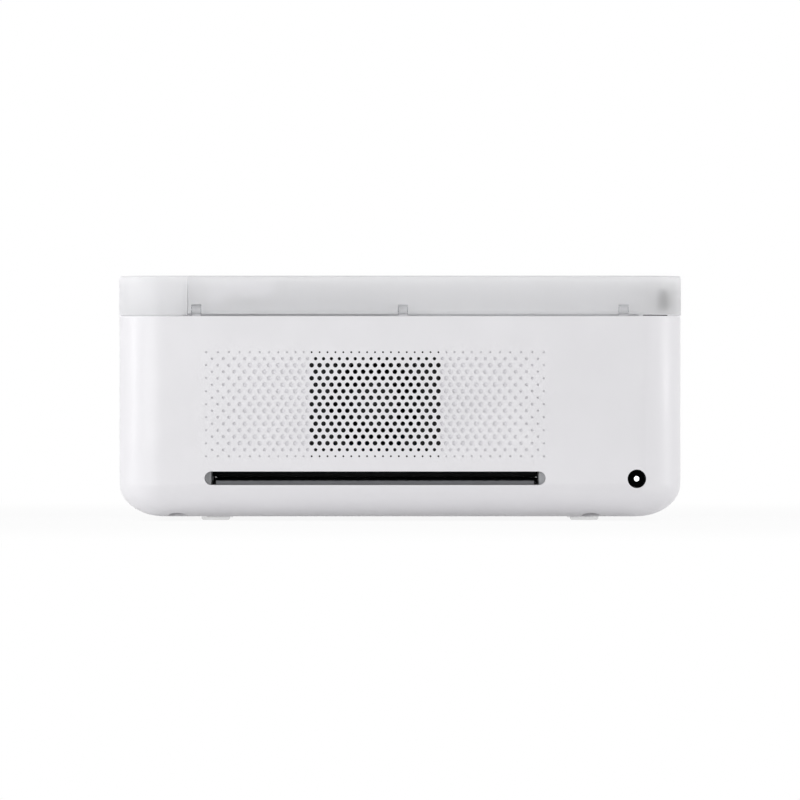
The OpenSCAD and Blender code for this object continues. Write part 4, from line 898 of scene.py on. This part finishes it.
@dataclass
class PaperDrive(SubAssembly):
    """Rollers that move the paper, with their gears and motor."""

    journal_r: float = 2.5
    plain = {"gear_pins": Finishes.shaft_steel}

    def on_journal(self, centre: np.ndarray) -> np.ndarray:
        """True on the steel ends of the platen roller, which are nearer its axis than its rubber."""
        low, high = box_mm("platen_roller")
        off = np.hypot(centre[:, 1] - (low.y + high.y) / 2, centre[:, 2] - (low.z + high.z) / 2)
        return off < self.journal_r

    def skins(self) -> list[Skin]:
        """The rollers, bushes, gears, motor and pinion."""
        gears = ("platen_gear", "capstan_gear", "idler_gear", "reduction_gear")
        return [
            *(Skin(node, Finishes.gear_plastic, 0.06) for node in gears),
            Skin("roller_bushes", Finishes.gear_plastic, 0.1),
            Skin("platen_roller", Finishes.rubber, 0.2,
                 regions=[Region(Finishes.shaft_steel, self.on_journal)]),
            Skin("capstan_roller", Finishes.shaft_steel, 0.1),
            Skin("pinch_roller", Finishes.rubber, 0.2),
            Skin("feed_motor", Finishes.steel, 0.2),
            Skin("motor_pinion", Finishes.brass),
        ]


@dataclass
class PrintHead(SubAssembly):
    """Heated print bar with its heat sink, arm and pivot."""

    plain = {"head_pivot_shaft": Finishes.shaft_steel}

    def skins(self) -> list[Skin]:
        """The bar, the heat sink and the arm."""
        return [
            Skin("print_head", Finishes.dark_plastic, 0.15),
            Skin("head_heatsink", Finishes.aluminium, 0.1),
            Skin("head_arm", Finishes.steel, 0.1),
        ]


@dataclass
class PickUp(SubAssembly):
    """Arm that swings down onto the paper, with its two rubber tyres."""

    plain = {"pickup_shaft": Finishes.shaft_steel}

    def skins(self) -> list[Skin]:
        """The arm and its roller."""
        return [Skin("pickup_arm", Finishes.pale_plastic, 0.2), Skin("pickup_roller", Finishes.rubber, 0.2)]


@dataclass
class Ribbon(SubAssembly):
    """Ribbon cartridge and what winds its film."""

    plain = {"ribbon_film": Finishes.film}

    def skins(self) -> list[Skin]:
        """The cartridge, its spools and their drive."""
        return [
            Skin("ribbon_cartridge", Finishes.dark_plastic, 0.25),
            Skin("supply_spool", Finishes.wound_film),
            Skin("take_up_spool", Finishes.wound_film),
            Skin("take_up_hub", Finishes.gear_plastic),
            Skin("ribbon_motor", Finishes.steel, 0.2),
            Skin("ribbon_motor_pinion", Finishes.brass),
            Skin("ribbon_motor_bracket", Finishes.steel, 0.1),
        ]


@dataclass
class Cooling(SubAssembly):
    """Fan behind the vent, with its duct."""

    def skins(self) -> list[Skin]:
        """The duct, the fan's frame and its rotor."""
        return [
            Skin("fan_duct", Finishes.black_plastic, 0.1),
            Skin("cooling_fan", Finishes.black_plastic, 0.15),
            Skin("fan_rotor", Finishes.black_plastic, 0.15),
        ]


@dataclass
class Electronics(SubAssembly):
    """Main board and the power inlet on it."""

    jack_x: float = -81.6
    jack_z: float = 14.5
    pin_r: float = 1.1
    bore_depth: float = 9.0
    floor_gap: float = 0.05
    mouth_gap: float = 0.005
    board_top: float = 9.05

    def on_parts(self, centre: np.ndarray) -> np.ndarray:
        """True on what stands on the board."""
        return centre[:, 2] > self.board_top

    def on_pin(self, centre: np.ndarray) -> np.ndarray:
        """True on the inlet's centre pin, between the bore's floor and its mouth."""
        off = np.hypot(centre[:, 0] - self.jack_x, centre[:, 2] - self.jack_z)
        depth = box_mm("dc_jack")[1].y - centre[:, 1]
        return (off < self.pin_r) & (depth < self.bore_depth - self.floor_gap) & (depth > self.mouth_gap)

    def skins(self) -> list[Skin]:
        """The board with its parts, and the inlet with its pin."""
        return [
            Skin("main_board", Finishes.circuit_board, 0.1,
                 regions=[Region(Finishes.chip_black, self.on_parts)]),
            # The inlet's near-black finish is painted shade for the inside of its bore.
            Skin("dc_jack", Finishes.inlet_black_painted_shade, 0.1, regions=[Region(Finishes.contact, self.on_pin)]),
        ]


# ---------------------------------------------------------------- the studio


def seen(tree: Tree) -> Socket:
    """Tell rays that see the surround from rays that only gather its light.

    Args:
        tree: the node tree to add to.

    Returns:
        One for the camera's rays and for those off a mirror or through glass, nought for the others.
    """
    path = add_node(tree, "ShaderNodeLightPath")
    value = path.outputs["Is Camera Ray"]
    for other in ("Is Glossy Ray", "Is Transmission Ray"):
        feeds = {0: value, 1: path.outputs[other]}
        value = add_node(tree, "ShaderNodeMath", feeds, operation="MAXIMUM").outputs[0]
    return value


@dataclass
class SoftBox:
    """A rectangular lamp, with its place and size in metres."""

    name: str
    place: tuple[float, float, float]
    size: tuple[float, float]
    radiance: float

    def build(self, aim: Vector) -> None:
        """Make the lamp and aim it; its power is radiance times pi times its area."""
        lamp = bpy.data.lights.new(self.name, "AREA")
        lamp.shape = "RECTANGLE"
        lamp.size, lamp.size_y = self.size
        lamp.energy = self.radiance * math.pi * self.size[0] * self.size[1]
        made = bpy.data.objects.new(self.name, lamp)
        made.location = self.place
        made.rotation_euler = (aim - Vector(self.place)).to_track_quat("-Z", "Y").to_euler()
        made.visible_camera = False
        bpy.context.scene.collection.objects.link(made)


@dataclass
class Studio:
    """Pale floor, soft light and the camera straight behind the printer. Its sizes are in metres."""

    camera_height: float = 0.04165
    camera_back: float = 3.0
    sensor_mm: float = 36.0
    view_width: float = 0.2755
    floor_size: float = 8.0
    floor_colour: str = "fafafa"
    floor_white: float = 0.9
    floor_fade: tuple[float, float] = (0.12, 0.55)
    ambient: float = 0.44
    lamps: tuple[SoftBox, ...] = (
        SoftBox("left_strip", (0.62, 0.10, 0.20), (0.16, 0.60), 4.2),
        SoftBox("right_strip", (-0.62, 0.10, 0.20), (0.16, 0.60), 4.7),
        SoftBox("top_box", (0.10, 0.10, 0.95), (0.9, 0.9), 0.1),
        SoftBox("left_card", (0.50, 0.62, 0.14), (0.30, 0.26), 1.6),
        SoftBox("low_card", (0.28, 0.93, 0.075), (1.4, 0.14), 3.8),
    )

    def camera(self, rear: float) -> None:
        """Put the camera level with the printer's middle, far enough back for a straight view of the rear.

        The focal length is the sensor's width times the distance to the rear face, over the width of the
        picture at that face.

        Args:
            rear: where the rear face lies along Y, in metres.
        """
        data = bpy.data.cameras.new("rear_view")
        data.sensor_width = self.sensor_mm
        data.lens = self.sensor_mm * self.camera_back / self.view_width
        data.clip_start, data.clip_end = 0.01, 50.0
        camera = bpy.data.objects.new("rear_view", data)
        camera.location = (0.0, rear + self.camera_back, self.camera_height)
        camera.rotation_euler = Euler((math.radians(90), 0.0, math.radians(180)))
        bpy.context.scene.collection.objects.link(camera)
        bpy.context.scene.camera = camera

    def world(self) -> None:
        """A white surround for the camera and for reflections, and an even grey for the light."""
        made = bpy.data.worlds.new("studio")
        bpy.context.scene.world = made
        made.use_nodes = True
        tree = made.node_tree
        tree.nodes.clear()
        light = add_node(tree, "ShaderNodeBackground", {"Color": (1, 1, 1, 1), "Strength": self.ambient})
        white = add_node(tree, "ShaderNodeBackground", {"Color": (1, 1, 1, 1), "Strength": 1.0})
        mix = add_node(tree, "ShaderNodeMixShader", {0: seen(tree), 1: light.outputs[0], 2: white.outputs[0]})
        add_node(tree, "ShaderNodeOutputWorld", {"Surface": mix.outputs[0]})

    def floor(self) -> None:
        """A wide pale floor that keeps the printer's shadow and is white to the camera elsewhere."""
        half = self.floor_size / 2
        steps = np.linspace(-half, half, 9)
        x, y = np.meshgrid(steps, steps, indexing="ij")
        points = np.stack([x, y, np.zeros_like(x)], axis=-1) / MM
        mesh = grid_mesh("floor", points)
        mesh.flip_normals()
        piece = new_object("floor", mesh)
        made = bpy.data.materials.new("matt_floor")
        made.use_nodes = True
        tree = made.node_tree
        tree.nodes.clear()
        feeds = {"Base Color": linear(self.floor_colour), "Roughness": 0.9}
        matt = add_node(tree, "ShaderNodeBsdfPrincipled", feeds)
        glow = add_node(tree, "ShaderNodeEmission", {"Color": (1, 1, 1, 1), "Strength": 1.0})
        place = add_node(tree, "ShaderNodeTexCoord").outputs["Object"]
        off = add_node(tree, "ShaderNodeVectorMath", {0: place}, operation="LENGTH").outputs["Value"]
        feeds = {"Value": off, "From Min": self.floor_fade[0], "From Max": self.floor_fade[1],
                 "To Min": self.floor_white, "To Max": 1.0}
        fade = add_node(tree, "ShaderNodeMapRange", feeds, interpolation_type="SMOOTHSTEP")
        feeds = {0: seen(tree), 1: fade.outputs["Result"]}
        share = add_node(tree, "ShaderNodeMath", feeds, operation="MULTIPLY")
        feeds = {0: share.outputs[0], 1: matt.outputs[0], 2: glow.outputs[0]}
        mix = add_node(tree, "ShaderNodeMixShader", feeds)
        add_node(tree, "ShaderNodeOutputMaterial", {"Surface": mix.outputs[0]})
        mesh.materials.append(made)

    def build(self) -> None:
        """Set up the floor, the world, the lamps and the camera."""
        low, high = cad_box
        aim = (low + high) / 2
        self.camera(high.y)
        self.world()
        self.floor()
        for lamp in self.lamps:
            lamp.build(aim)
        bpy.context.scene.view_settings.view_transform = "Standard"
        log.info("Studio: %d lamps", len(self.lamps))


def main() -> None:
    """Build the studio and the printer."""
    logging.basicConfig(level=logging.INFO, format="%(name)s %(message)s")
    Studio().build()
    parts = (Tub(), Cover(), Store(), Chassis(), PaperDrive(), PrintHead(), PickUp(), Ribbon(), Cooling(),
             Electronics())
    for part in parts:
        part.build()


if __name__ == "__main__":
    main()
